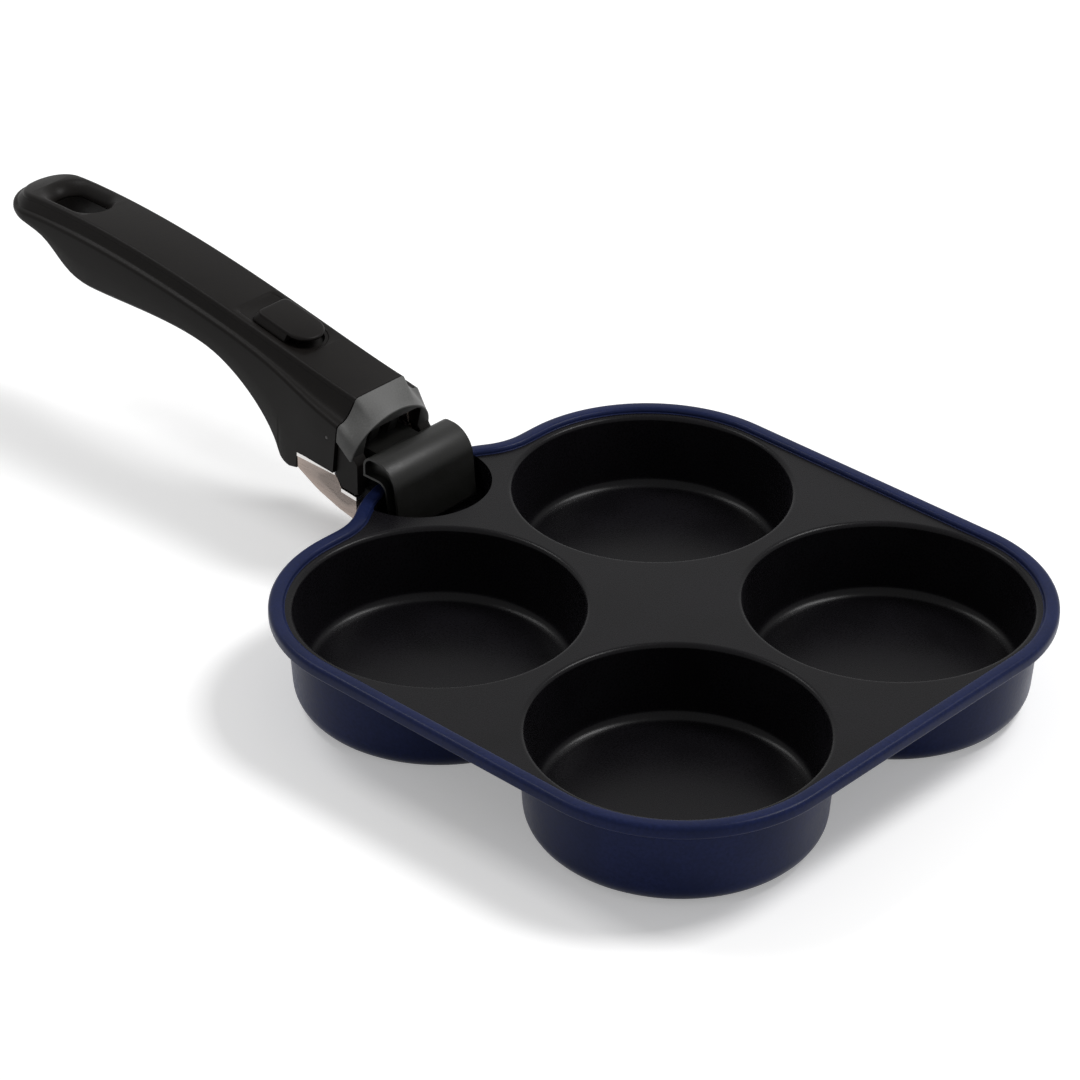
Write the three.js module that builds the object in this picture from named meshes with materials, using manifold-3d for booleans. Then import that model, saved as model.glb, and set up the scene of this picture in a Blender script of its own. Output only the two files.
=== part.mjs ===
// Breakfast pan: four round cups hang under one rimmed deck, and a clamp handle grips a lobe at its side.
// Millimetres, +Z up, handle towards -X. Sizes are measured from the deck's top face (z = 0) and, on the
// handle, from the outer face of the lobe. The finished group is moved so that its box stands on the origin.

import * as THREE from 'three';
import { mergeVertices } from 'three/addons/utils/BufferGeometryUtils.js';
import Module from 'manifold-3d';

const wasm = await Module();
wasm.setup();

// Cups
const CUP_OFFSET = 45;
const CUP_MOUTH_RADIUS = 43;
const CUP_LIP_FILLET = 1.5;
const CUP_DEPTH = 23;
const CUP_DRAFT = 2;
const CUP_WALL = 2;
const CUP_FLOOR = 6.5;
const CUP_FLOOR_FILLET = 3.5;
const CUP_BASE_FILLET = 7;

// Deck, rim and the lobe that the handle grips
const DECK_THICKNESS = 2.5;
const RIM_HEIGHT = 1.5;
const RIM_WIDTH = 4.4;
const RIM_MARGIN = 5.4;
const LOBE_REACH = 11.6;
const LOBE_RADIUS = 50;
const LOBE_BLEND = 20;
const POCKET_RADIUS = 21.7;
const POCKET_INSET = 7.5;
const POCKET_DEPTH = 12;
const POCKET_WALL = 3;

// Grip, seen from the side: distances back from the lobe's face, heights above the deck
const GRIP_LENGTH = 166.2;
const GRIP_START = 9;
const GRIP_FRONT_LEAN = 3;
const GRIP_START_HEIGHT = 25.4;
const GRIP_SILL_HEIGHT = 0.3;
const GRIP_CREST_HEIGHT = 42.1;
const GRIP_CREST_INSET = 25.2;
const GRIP_TIP_HEIGHT = 37;
const GRIP_TAIL_HEIGHT = 31;
const GRIP_TAIL_INSET = 19.2;
const GRIP_BELLY_HEIGHT = 20.4;
const GRIP_BELLY_INSET = 43.2;
const GRIP_PALM_HEIGHT = 17.6;
const GRIP_PALM_BACK = 63;
const GRIP_HEEL_DROP = 5.6;
const GRIP_HEEL_BACK = 28.6;
const GRIP_HEEL_LENGTH = 9.4;

// How far each end of the grip's side curves runs straight on before it bends
const CROWN_FRONT_REACH = 32;
const CROWN_FRONT_RISE = 4.1;
const CROWN_CREST_REACH = 54;
const TIP_CREST_REACH = 12;
const TIP_UPPER_REACH = 4.1;
const TIP_LOWER_REACH = 3.5;
const TAIL_REACH = 9;
const TAIL_FALL = 2.2;
const BELLY_REAR_REACH = 13;
const BELLY_FRONT_REACH = 18;
const PALM_REAR_REACH = 15;
const PALM_REAR_RISE = 6.4;
const PALM_FRONT_REACH = 11;
const PALM_FRONT_FALL = 4.6;
const HEEL_REAR_REACH = 3;
const HEEL_REAR_RISE = 7.6;
const HEEL_ROUND_HEIGHT = 3;
const HEEL_ROUND_LENGTH = 5;
const HEEL_ROUND_EDGE = 1;
const HEEL_STEP = 1;

// Grip, seen from above and along its length
const GRIP_HALF_WIDTH = 13.6;
const GRIP_FRONT_HALF_WIDTH = 17;
const GRIP_FLARE_BACK = 65;
const GRIP_FLARE_EASE = 1;
const GRIP_TOP_HALF = 10.4;
const GRIP_TOP_SLOPE = 1.2;
const GRIP_BOTTOM_HALF = 11.4;
const GRIP_BOTTOM_SLOPE = 0.9;

// Top cover and hanging hole
const COVER_THICKNESS = 4;
const COVER_MARGIN = 0.3;
const HANG_HOLE_LENGTH = 20;
const HANG_HOLE_WIDTH = 10.5;
const HANG_HOLE_INSET = 26.2;
const HANG_RECESS_MARGIN = 2.2;
const HANG_RECESS_DEPTH = 2.5;

// Steel chassis in the grip's front, with the fixed jaw
const CHASSIS_HALF_WIDTH = 12;
const CHASSIS_SHEET = 1.5;
const CHASSIS_DROP = 14.1;
const CHASSIS_REAR_DROP = 5.3;
const CHASSIS_BEND_BACK = 11.2;
const CHASSIS_JAW_BACK = 5.5;
const CHASSIS_JAW_DROP = 8;
const CHASSIS_CHEEK_HEIGHT = 15.5;
const CHASSIS_CHEEK_BACK = 18.5;
const CAVITY_MARGIN = 3;
const JAW_PAD_HALF_WIDTH = 13;
const JAW_PAD_TOP_DROP = 1.5;
const JAW_PAD_HEIGHT = 7.5;

// Collar at the grip's nose
const COLLAR_NOSE_BACK = 1.5;
const COLLAR_NOSE_HEIGHT = 20.3;
const COLLAR_NOSE_HALF_WIDTH = 16.4;
const COLLAR_CHIN_BACK = 4.5;
const COLLAR_CHIN_HEIGHT = 8;
const COLLAR_SKIRT_HEIGHT = 13;
const COLLAR_WALL = 2;
const COLLAR_LIP = 1.6;
const COLLAR_MOUTH_HALF = 11.2;
const COLLAR_MOUTH_HEIGHT = 16.8;
const COLLAR_TAB_HEIGHT = 6;
const COLLAR_TAB_MARGIN = 4;
const COLLAR_TAB_THICKNESS = 1.2;
const RIVET_RADIUS = 1.3;
const RIVET_BACK = 14.5;
const RIVET_HEIGHT = 12.5;

// Hook, its pivot and its crank
const PIVOT_BACK = 12.5;
const PIVOT_HEIGHT = 5;
const PIVOT_RADIUS = 2;
const KNUCKLE_RADIUS = 4.7;
const HOOK_ARM_HALF = 8.8;
const HOOK_HALF_WIDTH = 16.2;
const HOOK_REAR = 0.5;
const HOOK_ARCH_HEIGHT = 5.5;
const HOOK_THICKNESS = 7;
const HOOK_REACH = 13.4;
const HOOK_LEG = 4.3;
const HOOK_LEG_RAKE = 2.2;
const HOOK_TIP_DROP = 9.5;
const HOOK_REAR_ROUND = 3.5;
const HOOK_FRONT_ROUND = 5.5;
const HOOK_TIP_ROUND = 1.4;
const HOOK_ARCH_ROUND = 3;
const HOOK_SWING = THREE.MathUtils.degToRad(22);
const HOOK_PAD_HALF_WIDTH = 12;
const HOOK_PAD_DROP = 8;
const CRANK_LENGTH = 13;
const CRANK_PIN_RADIUS = 1.5;
const CRANK_EAR_RADIUS = 2.6;
const CRANK_EAR_INNER = 2.2;
const CRANK_EAR_THICKNESS = 3.6;

// Thumb slider, draw bar and return spring, along the slope of the cover under the slider
const SLIDER_BACK = 45;
const SLIDER_LENGTH = 20.6;
const SLIDER_HALF_WIDTH = 6.3;
const SLIDER_HEIGHT = 3;
const SLIDER_SUNK = 1.4;
const SLIDER_CORNER = 2;
const SLIDER_ROOM = 2;
const SLIDER_NECK_LENGTH = 10;
const SLIDER_NECK_HALF_WIDTH = 3.2;
const SLIDER_PIN_RADIUS = 1;
const BAR_THICKNESS = 3;
const BAR_HALF_HEIGHT = 2.8;
const BAR_SHOULDER_BACK = 14;
const BAR_TAIL_RADIUS = 1.5;
const SPRING_LENGTH = 17;
const SPRING_RADIUS = 2.3;
const SPRING_WIRE_RADIUS = 0.45;
const SPRING_TURNS = 7;
const SPRING_STEPS = 8;
const SPRING_WASHER = 0.8;
const CHANNEL_HALF_WIDTH = 4.6;

// Screws
const SCREW_RADIUS = 1.2;
const SCREW_HEAD_RADIUS = 2.5;
const SCREW_HEAD_HEIGHT = 1.8;
const SCREW_SLOT = 0.8;
const COVER_SCREW_LENGTH = 10.5;
const COVER_SCREW_SEAT = 13;
const COVER_BOSS_WALL = 1.3;
const COVER_BOSS_LENGTH = 5;
const COVER_SCREW_PLACES = { rear: [-117, 0], left: [-86, 6], right: [-86, -6] };
const CHASSIS_SCREW_BACK = 26;
const CHASSIS_SCREW_LENGTH = 7;
const CHASSIS_BOSS_HALF = 5;
const CHASSIS_BOSS_ROOT = 1;

// Fits: a seat between two pieces, and a running gap beside a moving one
const SEAT = 0.3;
const RUNNING = 0.4;

// Facets of round shapes
const CUP_FACETS = 40;
const ROD_FACETS = 24;
const ARC_STEPS = 2;
const OUTLINE_STEPS = 10;
const BEYOND = 120;

// Values that follow from the sizes above
const rimCornerRadius = CUP_MOUTH_RADIUS + RIM_MARGIN;
const panHalf = CUP_OFFSET + rimCornerRadius;
const baseDrop = CUP_DEPTH + CUP_FLOOR;
const lobeFace = -(panHalf + LOBE_REACH);
const lobeCentre = lobeFace + LOBE_RADIUS;
const gripHeel = -GRIP_HEEL_BACK;
const pivot = new THREE.Vector2(-PIVOT_BACK, PIVOT_HEIGHT);

// Solids: closed geometry in, one body out, turned outwards if it came inside out.
function solidOf(geometry) {
  const bare = geometry.clone();
  bare.deleteAttribute('normal');
  bare.deleteAttribute('uv');
  const welded = mergeVertices(bare, 1e-4);
  const index = welded.index.array;
  const corners = [];
  for (let i = 0; i < index.length; i += 3) {
    const [a, b, c] = index.slice(i, i + 3);
    if (a !== b && b !== c && c !== a) {
      corners.push(a, b, c);
    }
  }
  const vertProperties = new Float32Array(welded.attributes.position.array);
  if (signedVolume(vertProperties, corners) < 0) {
    corners.reverse();
  }
  const triVerts = new Uint32Array(corners);
  return new wasm.Manifold(new wasm.Mesh({ numProp: 3, vertProperties, triVerts }));
}

function signedVolume(points, corners) {
  const [a, b, c] = [new THREE.Vector3(), new THREE.Vector3(), new THREE.Vector3()];
  let volume = 0;
  for (let i = 0; i < corners.length; i += 3) {
    a.fromArray(points, 3 * corners[i]);
    b.fromArray(points, 3 * corners[i + 1]);
    c.fromArray(points, 3 * corners[i + 2]);
    volume += a.dot(b.cross(c)) / 6;
  }
  return volume;
}

function geometryOf(solid) {
  const { vertProperties, triVerts } = solid.getMesh();
  const geometry = new THREE.BufferGeometry();
  geometry.setAttribute('position', new THREE.BufferAttribute(new Float32Array(vertProperties), 3));
  geometry.setIndex(new THREE.BufferAttribute(new Uint32Array(triVerts), 1));
  geometry.computeVertexNormals();
  return geometry;
}

function extruded(shape, depth) {
  return new THREE.ExtrudeGeometry(shape, { depth, bevelEnabled: false, curveSegments: OUTLINE_STEPS });
}

// A side outline (x, z) given thickness along Y.
function prismY(shape, yMin, yMax) {
  const geometry = extruded(shape, yMax - yMin);
  return solidOf(geometry.rotateX(Math.PI / 2).translate(0, yMax, 0));
}

// A plan outline (x, y) given height along Z.
function prismZ(shape, zMin, zMax) {
  return solidOf(extruded(shape, zMax - zMin).translate(0, 0, zMin));
}

function rodY(x, z, radius, yMin, yMax) {
  const geometry = new THREE.CylinderGeometry(radius, radius, yMax - yMin, ROD_FACETS);
  return solidOf(geometry.translate(x, (yMin + yMax) / 2, z));
}

function rodZ(x, y, radius, zMin, zMax) {
  const geometry = new THREE.CylinderGeometry(radius, radius, zMax - zMin, ROD_FACETS);
  return solidOf(geometry.rotateX(Math.PI / 2).translate(x, y, (zMin + zMax) / 2));
}

function rodX(y, z, radius, xMin, xMax) {
  const geometry = new THREE.CylinderGeometry(radius, radius, xMax - xMin, ROD_FACETS);
  return solidOf(geometry.rotateZ(Math.PI / 2).translate((xMin + xMax) / 2, y, z));
}

function block(xMin, xMax, yMin, yMax, zMin, zMax) {
  const geometry = new THREE.BoxGeometry(xMax - xMin, yMax - yMin, zMax - zMin);
  return solidOf(geometry.translate((xMin + xMax) / 2, (yMin + yMax) / 2, (zMin + zMax) / 2));
}

function turned(path) {
  const geometry = new THREE.LatheGeometry(path.getPoints(ARC_STEPS), CUP_FACETS);
  return solidOf(geometry.rotateX(Math.PI / 2));
}

function joined(solids) {
  return solids.reduce((whole, piece) => whole.add(piece));
}

function cut(solid, cutters) {
  return cutters.reduce((rest, cutter) => rest.subtract(cutter), solid);
}

// A path through corners [x, y, radius], each rounded by its radius. The first and last stay sharp.
function roundedPath(corners) {
  const path = new THREE.Shape();
  const last = corners.length - 1;
  corners.forEach(([x, y, radius = 0], i) => {
    if (i === 0) {
      path.moveTo(x, y);
    } else if (radius === 0 || i === last) {
      path.lineTo(x, y);
    } else {
      addRound(path, corners[i - 1], corners[i], corners[i + 1]);
    }
  });
  return path;
}

function addRound(path, before, [x, y, radius], after) {
  const corner = new THREE.Vector2(x, y);
  const back = new THREE.Vector2(before[0], before[1]).sub(corner).normalize();
  const ahead = new THREE.Vector2(after[0], after[1]).sub(corner).normalize();
  const half = Math.acos(THREE.MathUtils.clamp(back.dot(ahead), -1, 1)) / 2;
  const start = back.clone().multiplyScalar(radius / Math.tan(half)).add(corner);
  const end = ahead.clone().multiplyScalar(radius / Math.tan(half)).add(corner);
  const middle = back.clone().add(ahead).setLength(radius / Math.sin(half)).add(corner);
  path.lineTo(start.x, start.y);
  const from = start.sub(middle).angle();
  const to = end.sub(middle).angle();
  path.absarc(middle.x, middle.y, radius, from, to, back.cross(ahead) > 0);
}

function stadium(xMin, xMax, halfWidth) {
  const shape = new THREE.Shape();
  shape.absarc(xMax - halfWidth, 0, halfWidth, -Math.PI / 2, Math.PI / 2);
  shape.absarc(xMin + halfWidth, 0, halfWidth, Math.PI / 2, 1.5 * Math.PI);
  return shape;
}

function disc(x, y, radius) {
  const shape = new THREE.Shape();
  shape.absarc(x, y, radius, 0, Math.PI);
  shape.absarc(x, y, radius, Math.PI, 2 * Math.PI);
  return shape;
}

// The pan's outline seen from above, drawn in by an inset: corners about the cups, and the lobe.
function panOutline(inset) {
  const corner = rimCornerRadius - inset;
  const side = CUP_OFFSET + corner;
  const lobe = LOBE_RADIUS - inset;
  const blend = LOBE_BLEND + inset;
  const blendX = -(side + blend);
  const blendY = Math.sqrt((lobe + blend) ** 2 - (lobeCentre - blendX) ** 2);
  const lean = Math.atan2(blendY, lobeCentre - blendX);
  const outline = new THREE.Shape();
  outline.absarc(CUP_OFFSET, -CUP_OFFSET, corner, -Math.PI / 2, 0);
  outline.absarc(CUP_OFFSET, CUP_OFFSET, corner, 0, Math.PI / 2);
  outline.absarc(-CUP_OFFSET, CUP_OFFSET, corner, Math.PI / 2, Math.PI);
  outline.absarc(blendX, blendY, blend, 0, -lean, true);
  outline.absarc(lobeCentre, 0, lobe, Math.PI - lean, Math.PI + lean);
  outline.absarc(blendX, -blendY, blend, lean, 0, true);
  outline.absarc(-CUP_OFFSET, -CUP_OFFSET, corner, Math.PI, 1.5 * Math.PI);
  return outline;
}

function cupOutside() {
  const top = CUP_MOUTH_RADIUS - CUP_LIP_FILLET + CUP_WALL;
  return turned(roundedPath([
    [0, -baseDrop],
    [top - CUP_DRAFT, -baseDrop, CUP_BASE_FILLET],
    [top, -DECK_THICKNESS / 2],
    [0, -DECK_THICKNESS / 2],
  ]));
}

function cupInside() {
  const top = CUP_MOUTH_RADIUS - CUP_LIP_FILLET;
  return turned(roundedPath([
    [0, -CUP_DEPTH],
    [top - CUP_DRAFT, -CUP_DEPTH, CUP_FLOOR_FILLET],
    [top, 0, CUP_LIP_FILLET],
    [CUP_MOUTH_RADIUS, 0],
    [CUP_MOUTH_RADIUS, RIM_HEIGHT],
    [0, RIM_HEIGHT],
  ]));
}

function panBody() {
  const pocketCentre = lobeFace + POCKET_INSET;
  const pocketBase = -(POCKET_DEPTH + POCKET_WALL);
  const wellWall = disc(pocketCentre, 0, POCKET_RADIUS + POCKET_WALL);
  const solids = [prismZ(panOutline(0), -DECK_THICKNESS, RIM_HEIGHT)];
  solids.push(prismZ(wellWall, pocketBase, 0).intersect(prismZ(panOutline(0), pocketBase, 0)));
  const well = prismZ(disc(pocketCentre, 0, POCKET_RADIUS), -POCKET_DEPTH, RIM_HEIGHT);
  const cutters = [prismZ(panOutline(RIM_WIDTH), 0, RIM_HEIGHT + BEYOND)];
  cutters.push(well.intersect(prismZ(panOutline(RIM_WIDTH), -POCKET_DEPTH, RIM_HEIGHT)));
  for (const x of [-CUP_OFFSET, CUP_OFFSET]) {
    for (const y of [-CUP_OFFSET, CUP_OFFSET]) {
      solids.push(cupOutside().translate([x, y, 0]));
      cutters.push(cupInside().translate([x, y, 0]));
    }
  }
  return cut(joined(solids), cutters);
}

// The crown line of the grip: from its front edge up to the crest near the far end.
const crown = new THREE.CubicBezierCurve(
  new THREE.Vector2(-GRIP_START, GRIP_START_HEIGHT),
  new THREE.Vector2(-GRIP_START - CROWN_FRONT_REACH, GRIP_START_HEIGHT + CROWN_FRONT_RISE),
  new THREE.Vector2(-GRIP_LENGTH + GRIP_CREST_INSET + CROWN_CREST_REACH, GRIP_CREST_HEIGHT),
  new THREE.Vector2(-GRIP_LENGTH + GRIP_CREST_INSET, GRIP_CREST_HEIGHT),
);

function crownHeight(x) {
  let [low, high] = [0, 1];
  for (let i = 0; i < 40; i += 1) {
    const middle = (low + high) / 2;
    if (crown.getPoint(middle).x > x) {
      low = middle;
    } else {
      high = middle;
    }
  }
  return crown.getPoint(low).y;
}

// Draws the crown from the front to the far end's tip.
function traceCrown(shape, lift) {
  const { v1, v2, v3 } = crown;
  const end = -GRIP_LENGTH;
  const tip = GRIP_TIP_HEIGHT + lift;
  shape.bezierCurveTo(v1.x, v1.y + lift, v2.x, v2.y + lift, v3.x, v3.y + lift);
  shape.bezierCurveTo(v3.x - TIP_CREST_REACH, v3.y + lift, end, tip + TIP_UPPER_REACH, end, tip);
}

// Draws the underside from the tip: tail, belly, palm curve and heel.
function traceUnderside(shape) {
  const end = -GRIP_LENGTH;
  const tail = end + GRIP_TAIL_INSET;
  const belly = end + GRIP_BELLY_INSET;
  const palm = -GRIP_PALM_BACK;
  const heelRear = gripHeel - GRIP_HEEL_LENGTH;
  const heel = -GRIP_HEEL_DROP;
  shape.bezierCurveTo(
    end, GRIP_TIP_HEIGHT - TIP_LOWER_REACH,
    tail - TAIL_REACH, GRIP_TAIL_HEIGHT + TAIL_FALL, tail, GRIP_TAIL_HEIGHT);
  shape.bezierCurveTo(
    tail + TAIL_REACH, GRIP_TAIL_HEIGHT - TAIL_FALL,
    belly - BELLY_REAR_REACH, GRIP_BELLY_HEIGHT, belly, GRIP_BELLY_HEIGHT);
  shape.bezierCurveTo(
    belly + BELLY_FRONT_REACH, GRIP_BELLY_HEIGHT,
    palm - PALM_REAR_REACH, GRIP_PALM_HEIGHT + PALM_REAR_RISE, palm, GRIP_PALM_HEIGHT);
  shape.bezierCurveTo(
    palm + PALM_FRONT_REACH, GRIP_PALM_HEIGHT - PALM_FRONT_FALL,
    heelRear - HEEL_REAR_REACH, heel + HEEL_ROUND_HEIGHT + HEEL_REAR_RISE, heelRear, heel + HEEL_ROUND_HEIGHT);
  shape.quadraticCurveTo(heelRear + HEEL_ROUND_EDGE, heel, heelRear + HEEL_ROUND_LENGTH, heel);
  shape.lineTo(gripHeel - HEEL_STEP, heel + HEEL_STEP);
  shape.lineTo(gripHeel, GRIP_SILL_HEIGHT);
}

const gripFoot = -GRIP_START - GRIP_FRONT_LEAN;

function gripSide() {
  const shape = new THREE.Shape();
  shape.moveTo(-GRIP_START, GRIP_START_HEIGHT);
  traceCrown(shape, 0);
  traceUnderside(shape);
  shape.lineTo(gripFoot, GRIP_SILL_HEIGHT);
  return shape;
}

// Everything under the crown, lifted or lowered as a whole.
function underCrown(lift) {
  const shape = new THREE.Shape();
  shape.moveTo(-GRIP_START, GRIP_START_HEIGHT + lift);
  traceCrown(shape, lift);
  shape.lineTo(-GRIP_LENGTH, -BEYOND);
  shape.lineTo(-GRIP_START, -BEYOND);
  return shape;
}

function overUnderside() {
  const shape = new THREE.Shape();
  shape.moveTo(-GRIP_LENGTH, GRIP_TIP_HEIGHT);
  traceUnderside(shape);
  shape.lineTo(-GRIP_START, GRIP_SILL_HEIGHT);
  shape.lineTo(-GRIP_START, BEYOND);
  shape.lineTo(-GRIP_LENGTH, BEYOND);
  return shape;
}

function gripPlan() {
  const rear = -GRIP_LENGTH + GRIP_HALF_WIDTH;
  const flare = -GRIP_FLARE_BACK;
  const bend = flare / 2;
  const eased = GRIP_FRONT_HALF_WIDTH - GRIP_FLARE_EASE;
  const shape = new THREE.Shape();
  shape.moveTo(-GRIP_START, -GRIP_FRONT_HALF_WIDTH);
  shape.lineTo(-GRIP_START, GRIP_FRONT_HALF_WIDTH);
  shape.bezierCurveTo(bend, eased, bend, GRIP_HALF_WIDTH, flare, GRIP_HALF_WIDTH);
  shape.absarc(rear, 0, GRIP_HALF_WIDTH, Math.PI / 2, 1.5 * Math.PI);
  shape.lineTo(flare, -GRIP_HALF_WIDTH);
  shape.bezierCurveTo(bend, -GRIP_HALF_WIDTH, bend, -eased, -GRIP_START, -GRIP_FRONT_HALF_WIDTH);
  return shape;
}

// The sloped sides of an outline that is flat out to `flat` and falls by `slope` for each millimetre beyond.
function shoulders(shape, flat, slope) {
  const sides = [slope, -slope].map((rise) => {
    const geometry = extruded(shape, 2 * BEYOND).rotateX(Math.PI / 2).translate(0, BEYOND, 0);
    const lean = new THREE.Matrix4().makeShear(0, 0, 0, rise, 0, 0);
    return solidOf(geometry.applyMatrix4(lean).translate(0, 0, slope * flat));
  });
  return sides[0].intersect(sides[1]);
}

function gripOutside() {
  const keel = shoulders(overUnderside(), GRIP_BOTTOM_HALF, -GRIP_BOTTOM_SLOPE);
  const frontPart = block(gripHeel - GRIP_HEEL_LENGTH / 2, 0, -BEYOND, BEYOND, -BEYOND, BEYOND);
  return prismY(gripSide(), -BEYOND, BEYOND)
    .intersect(prismZ(gripPlan(), -BEYOND, BEYOND))
    .intersect(shoulders(underCrown(0), GRIP_TOP_HALF, GRIP_TOP_SLOPE))
    .intersect(keel.add(frontPart));
}

// The frame of the sliding parts: its X runs forward along the cover, its origin is under the slider's middle.
const slideSeat = new THREE.Vector2(-SLIDER_BACK, crownHeight(-SLIDER_BACK));
const slideRise = crownHeight(-SLIDER_BACK - SLIDER_LENGTH / 2) - crownHeight(-SLIDER_BACK + SLIDER_LENGTH / 2);
const slideTilt = Math.atan2(slideRise, SLIDER_LENGTH);

function onSlide(solid) {
  return solid.rotate([0, THREE.MathUtils.radToDeg(slideTilt), 0]).translate([slideSeat.x, 0, slideSeat.y]);
}

// The crank swings evenly to both sides of the slide's normal, so the bar's stroke is its chord.
const crankLean = slideTilt + HOOK_SWING / 2;
const crankAim = new THREE.Vector2(Math.sin(crankLean), Math.cos(crankLean));
const crankPin = crankAim.multiplyScalar(CRANK_LENGTH).add(pivot);
const stroke = 2 * CRANK_LENGTH * Math.sin(HOOK_SWING / 2);
const eye = crankPin.clone().sub(slideSeat).rotateAround(new THREE.Vector2(), slideTilt);
const springOuter = SPRING_RADIUS + SPRING_WIRE_RADIUS;
const springRoom = springOuter + SEAT + RUNNING;
const springFront = -BAR_SHOULDER_BACK - SEAT;
const washerFront = springFront - SPRING_LENGTH - SEAT;
const channelRear = washerFront - SPRING_WASHER - SEAT;
const tailEnd = channelRear - stroke;

function thumbPlan(grow, tail) {
  const half = SLIDER_HALF_WIDTH + grow;
  const rear = -SLIDER_LENGTH / 2 - grow - tail;
  const nose = SLIDER_LENGTH / 2 + grow - half;
  const shape = roundedPath([[rear, 0], [rear, -half, SLIDER_CORNER], [nose, -half]]);
  shape.absarc(nose, 0, half, -Math.PI / 2, Math.PI / 2);
  shape.absarc(rear + SLIDER_CORNER, half - SLIDER_CORNER, SLIDER_CORNER, Math.PI / 2, Math.PI);
  return shape;
}

function thumbSlider() {
  const halfNeck = SLIDER_NECK_LENGTH / 2;
  const foot = eye.y - BAR_HALF_HEIGHT;
  const groove = BAR_THICKNESS / 2 + SEAT;
  const neckHalf = SLIDER_NECK_HALF_WIDTH;
  const neck = block(-halfNeck, halfNeck, -neckHalf, neckHalf, foot, 0);
  const pad = prismZ(thumbPlan(0, 0), -SLIDER_SUNK, SLIDER_HEIGHT);
  const fork = block(-BEYOND, BEYOND, -groove, groove, -BEYOND, eye.y + BAR_HALF_HEIGHT + SEAT);
  const pinHole = rodY(0, eye.y, SLIDER_PIN_RADIUS + SEAT, -BEYOND, BEYOND);
  return cut(pad.add(neck), [fork, pinHole]);
}

function drawBar() {
  const side = new THREE.Shape();
  side.moveTo(-BAR_SHOULDER_BACK, eye.y - BAR_HALF_HEIGHT);
  side.lineTo(eye.x, eye.y - BAR_HALF_HEIGHT);
  side.absarc(eye.x, eye.y, BAR_HALF_HEIGHT, -Math.PI / 2, Math.PI / 2);
  side.lineTo(-BAR_SHOULDER_BACK, eye.y + BAR_HALF_HEIGHT);
  const bar = prismY(side, -BAR_THICKNESS / 2, BAR_THICKNESS / 2);
  const tail = rodX(0, eye.y, BAR_TAIL_RADIUS, tailEnd, -BAR_SHOULDER_BACK + BAR_THICKNESS);
  const eyeHole = rodY(eye.x, eye.y, CRANK_PIN_RADIUS + RUNNING, -BEYOND, BEYOND);
  const pinHole = rodY(0, eye.y, SLIDER_PIN_RADIUS + SEAT, -BEYOND, BEYOND);
  return cut(bar.add(tail), [eyeHole, pinHole]);
}

class Helix extends THREE.Curve {
  getPoint(t, target = new THREE.Vector3()) {
    const turn = 2 * Math.PI * SPRING_TURNS * t;
    const run = SPRING_LENGTH - 2 * SPRING_WIRE_RADIUS;
    const x = springFront - SPRING_WIRE_RADIUS - run * t;
    return target.set(x, SPRING_RADIUS * Math.cos(turn), eye.y + SPRING_RADIUS * Math.sin(turn));
  }
}

function returnSpring() {
  const geometry = new THREE.ExtrudeGeometry(disc(0, 0, SPRING_WIRE_RADIUS), {
    extrudePath: new Helix(),
    steps: SPRING_TURNS * SPRING_STEPS,
    curveSegments: ARC_STEPS,
  });
  return solidOf(geometry);
}

function springWasher() {
  const ring = rodX(0, eye.y, springOuter + SEAT, washerFront - SPRING_WASHER, washerFront);
  return ring.subtract(rodX(0, eye.y, BAR_TAIL_RADIUS + RUNNING, -BEYOND, BEYOND));
}

// A pan-head screw along Z with its seat at z = 0, and the clearance hole for its shank.
function screw(length) {
  const head = rodZ(0, 0, SCREW_HEAD_RADIUS, -SCREW_HEAD_HEIGHT, 0);
  const shank = rodZ(0, 0, SCREW_RADIUS, -SCREW_HEAD_HEIGHT / 2, length);
  const reach = SCREW_HEAD_RADIUS - SCREW_SLOT;
  const half = SCREW_SLOT / 2;
  const slotTop = -SCREW_HEAD_HEIGHT / 2;
  const across = block(-half, half, -reach, reach, -BEYOND, slotTop);
  const along = block(-reach, reach, -half, half, -BEYOND, slotTop);
  return cut(head.add(shank), [across, along]);
}

function coverScrewSeats() {
  return Object.entries(COVER_SCREW_PLACES).map(([name, [x, y]]) => {
    const crownZ = crownHeight(x);
    return { name, x, y, underside: crownZ - COVER_THICKNESS, seat: crownZ - COVER_SCREW_SEAT };
  });
}

const coverBossRadius = SCREW_RADIUS + SEAT + COVER_BOSS_WALL;
const coverRear = -GRIP_LENGTH + GRIP_HALF_WIDTH;
const hangCentre = -GRIP_LENGTH + HANG_HOLE_INSET;

function coverPlan(half, front) {
  const shape = new THREE.Shape();
  shape.moveTo(front, -half);
  shape.lineTo(front, half);
  shape.absarc(coverRear, 0, half, Math.PI / 2, 1.5 * Math.PI);
  return shape;
}

function hangHole(margin) {
  const half = HANG_HOLE_LENGTH / 2 + margin;
  return stadium(hangCentre - half, hangCentre + half, HANG_HOLE_WIDTH / 2 + margin);
}

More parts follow.
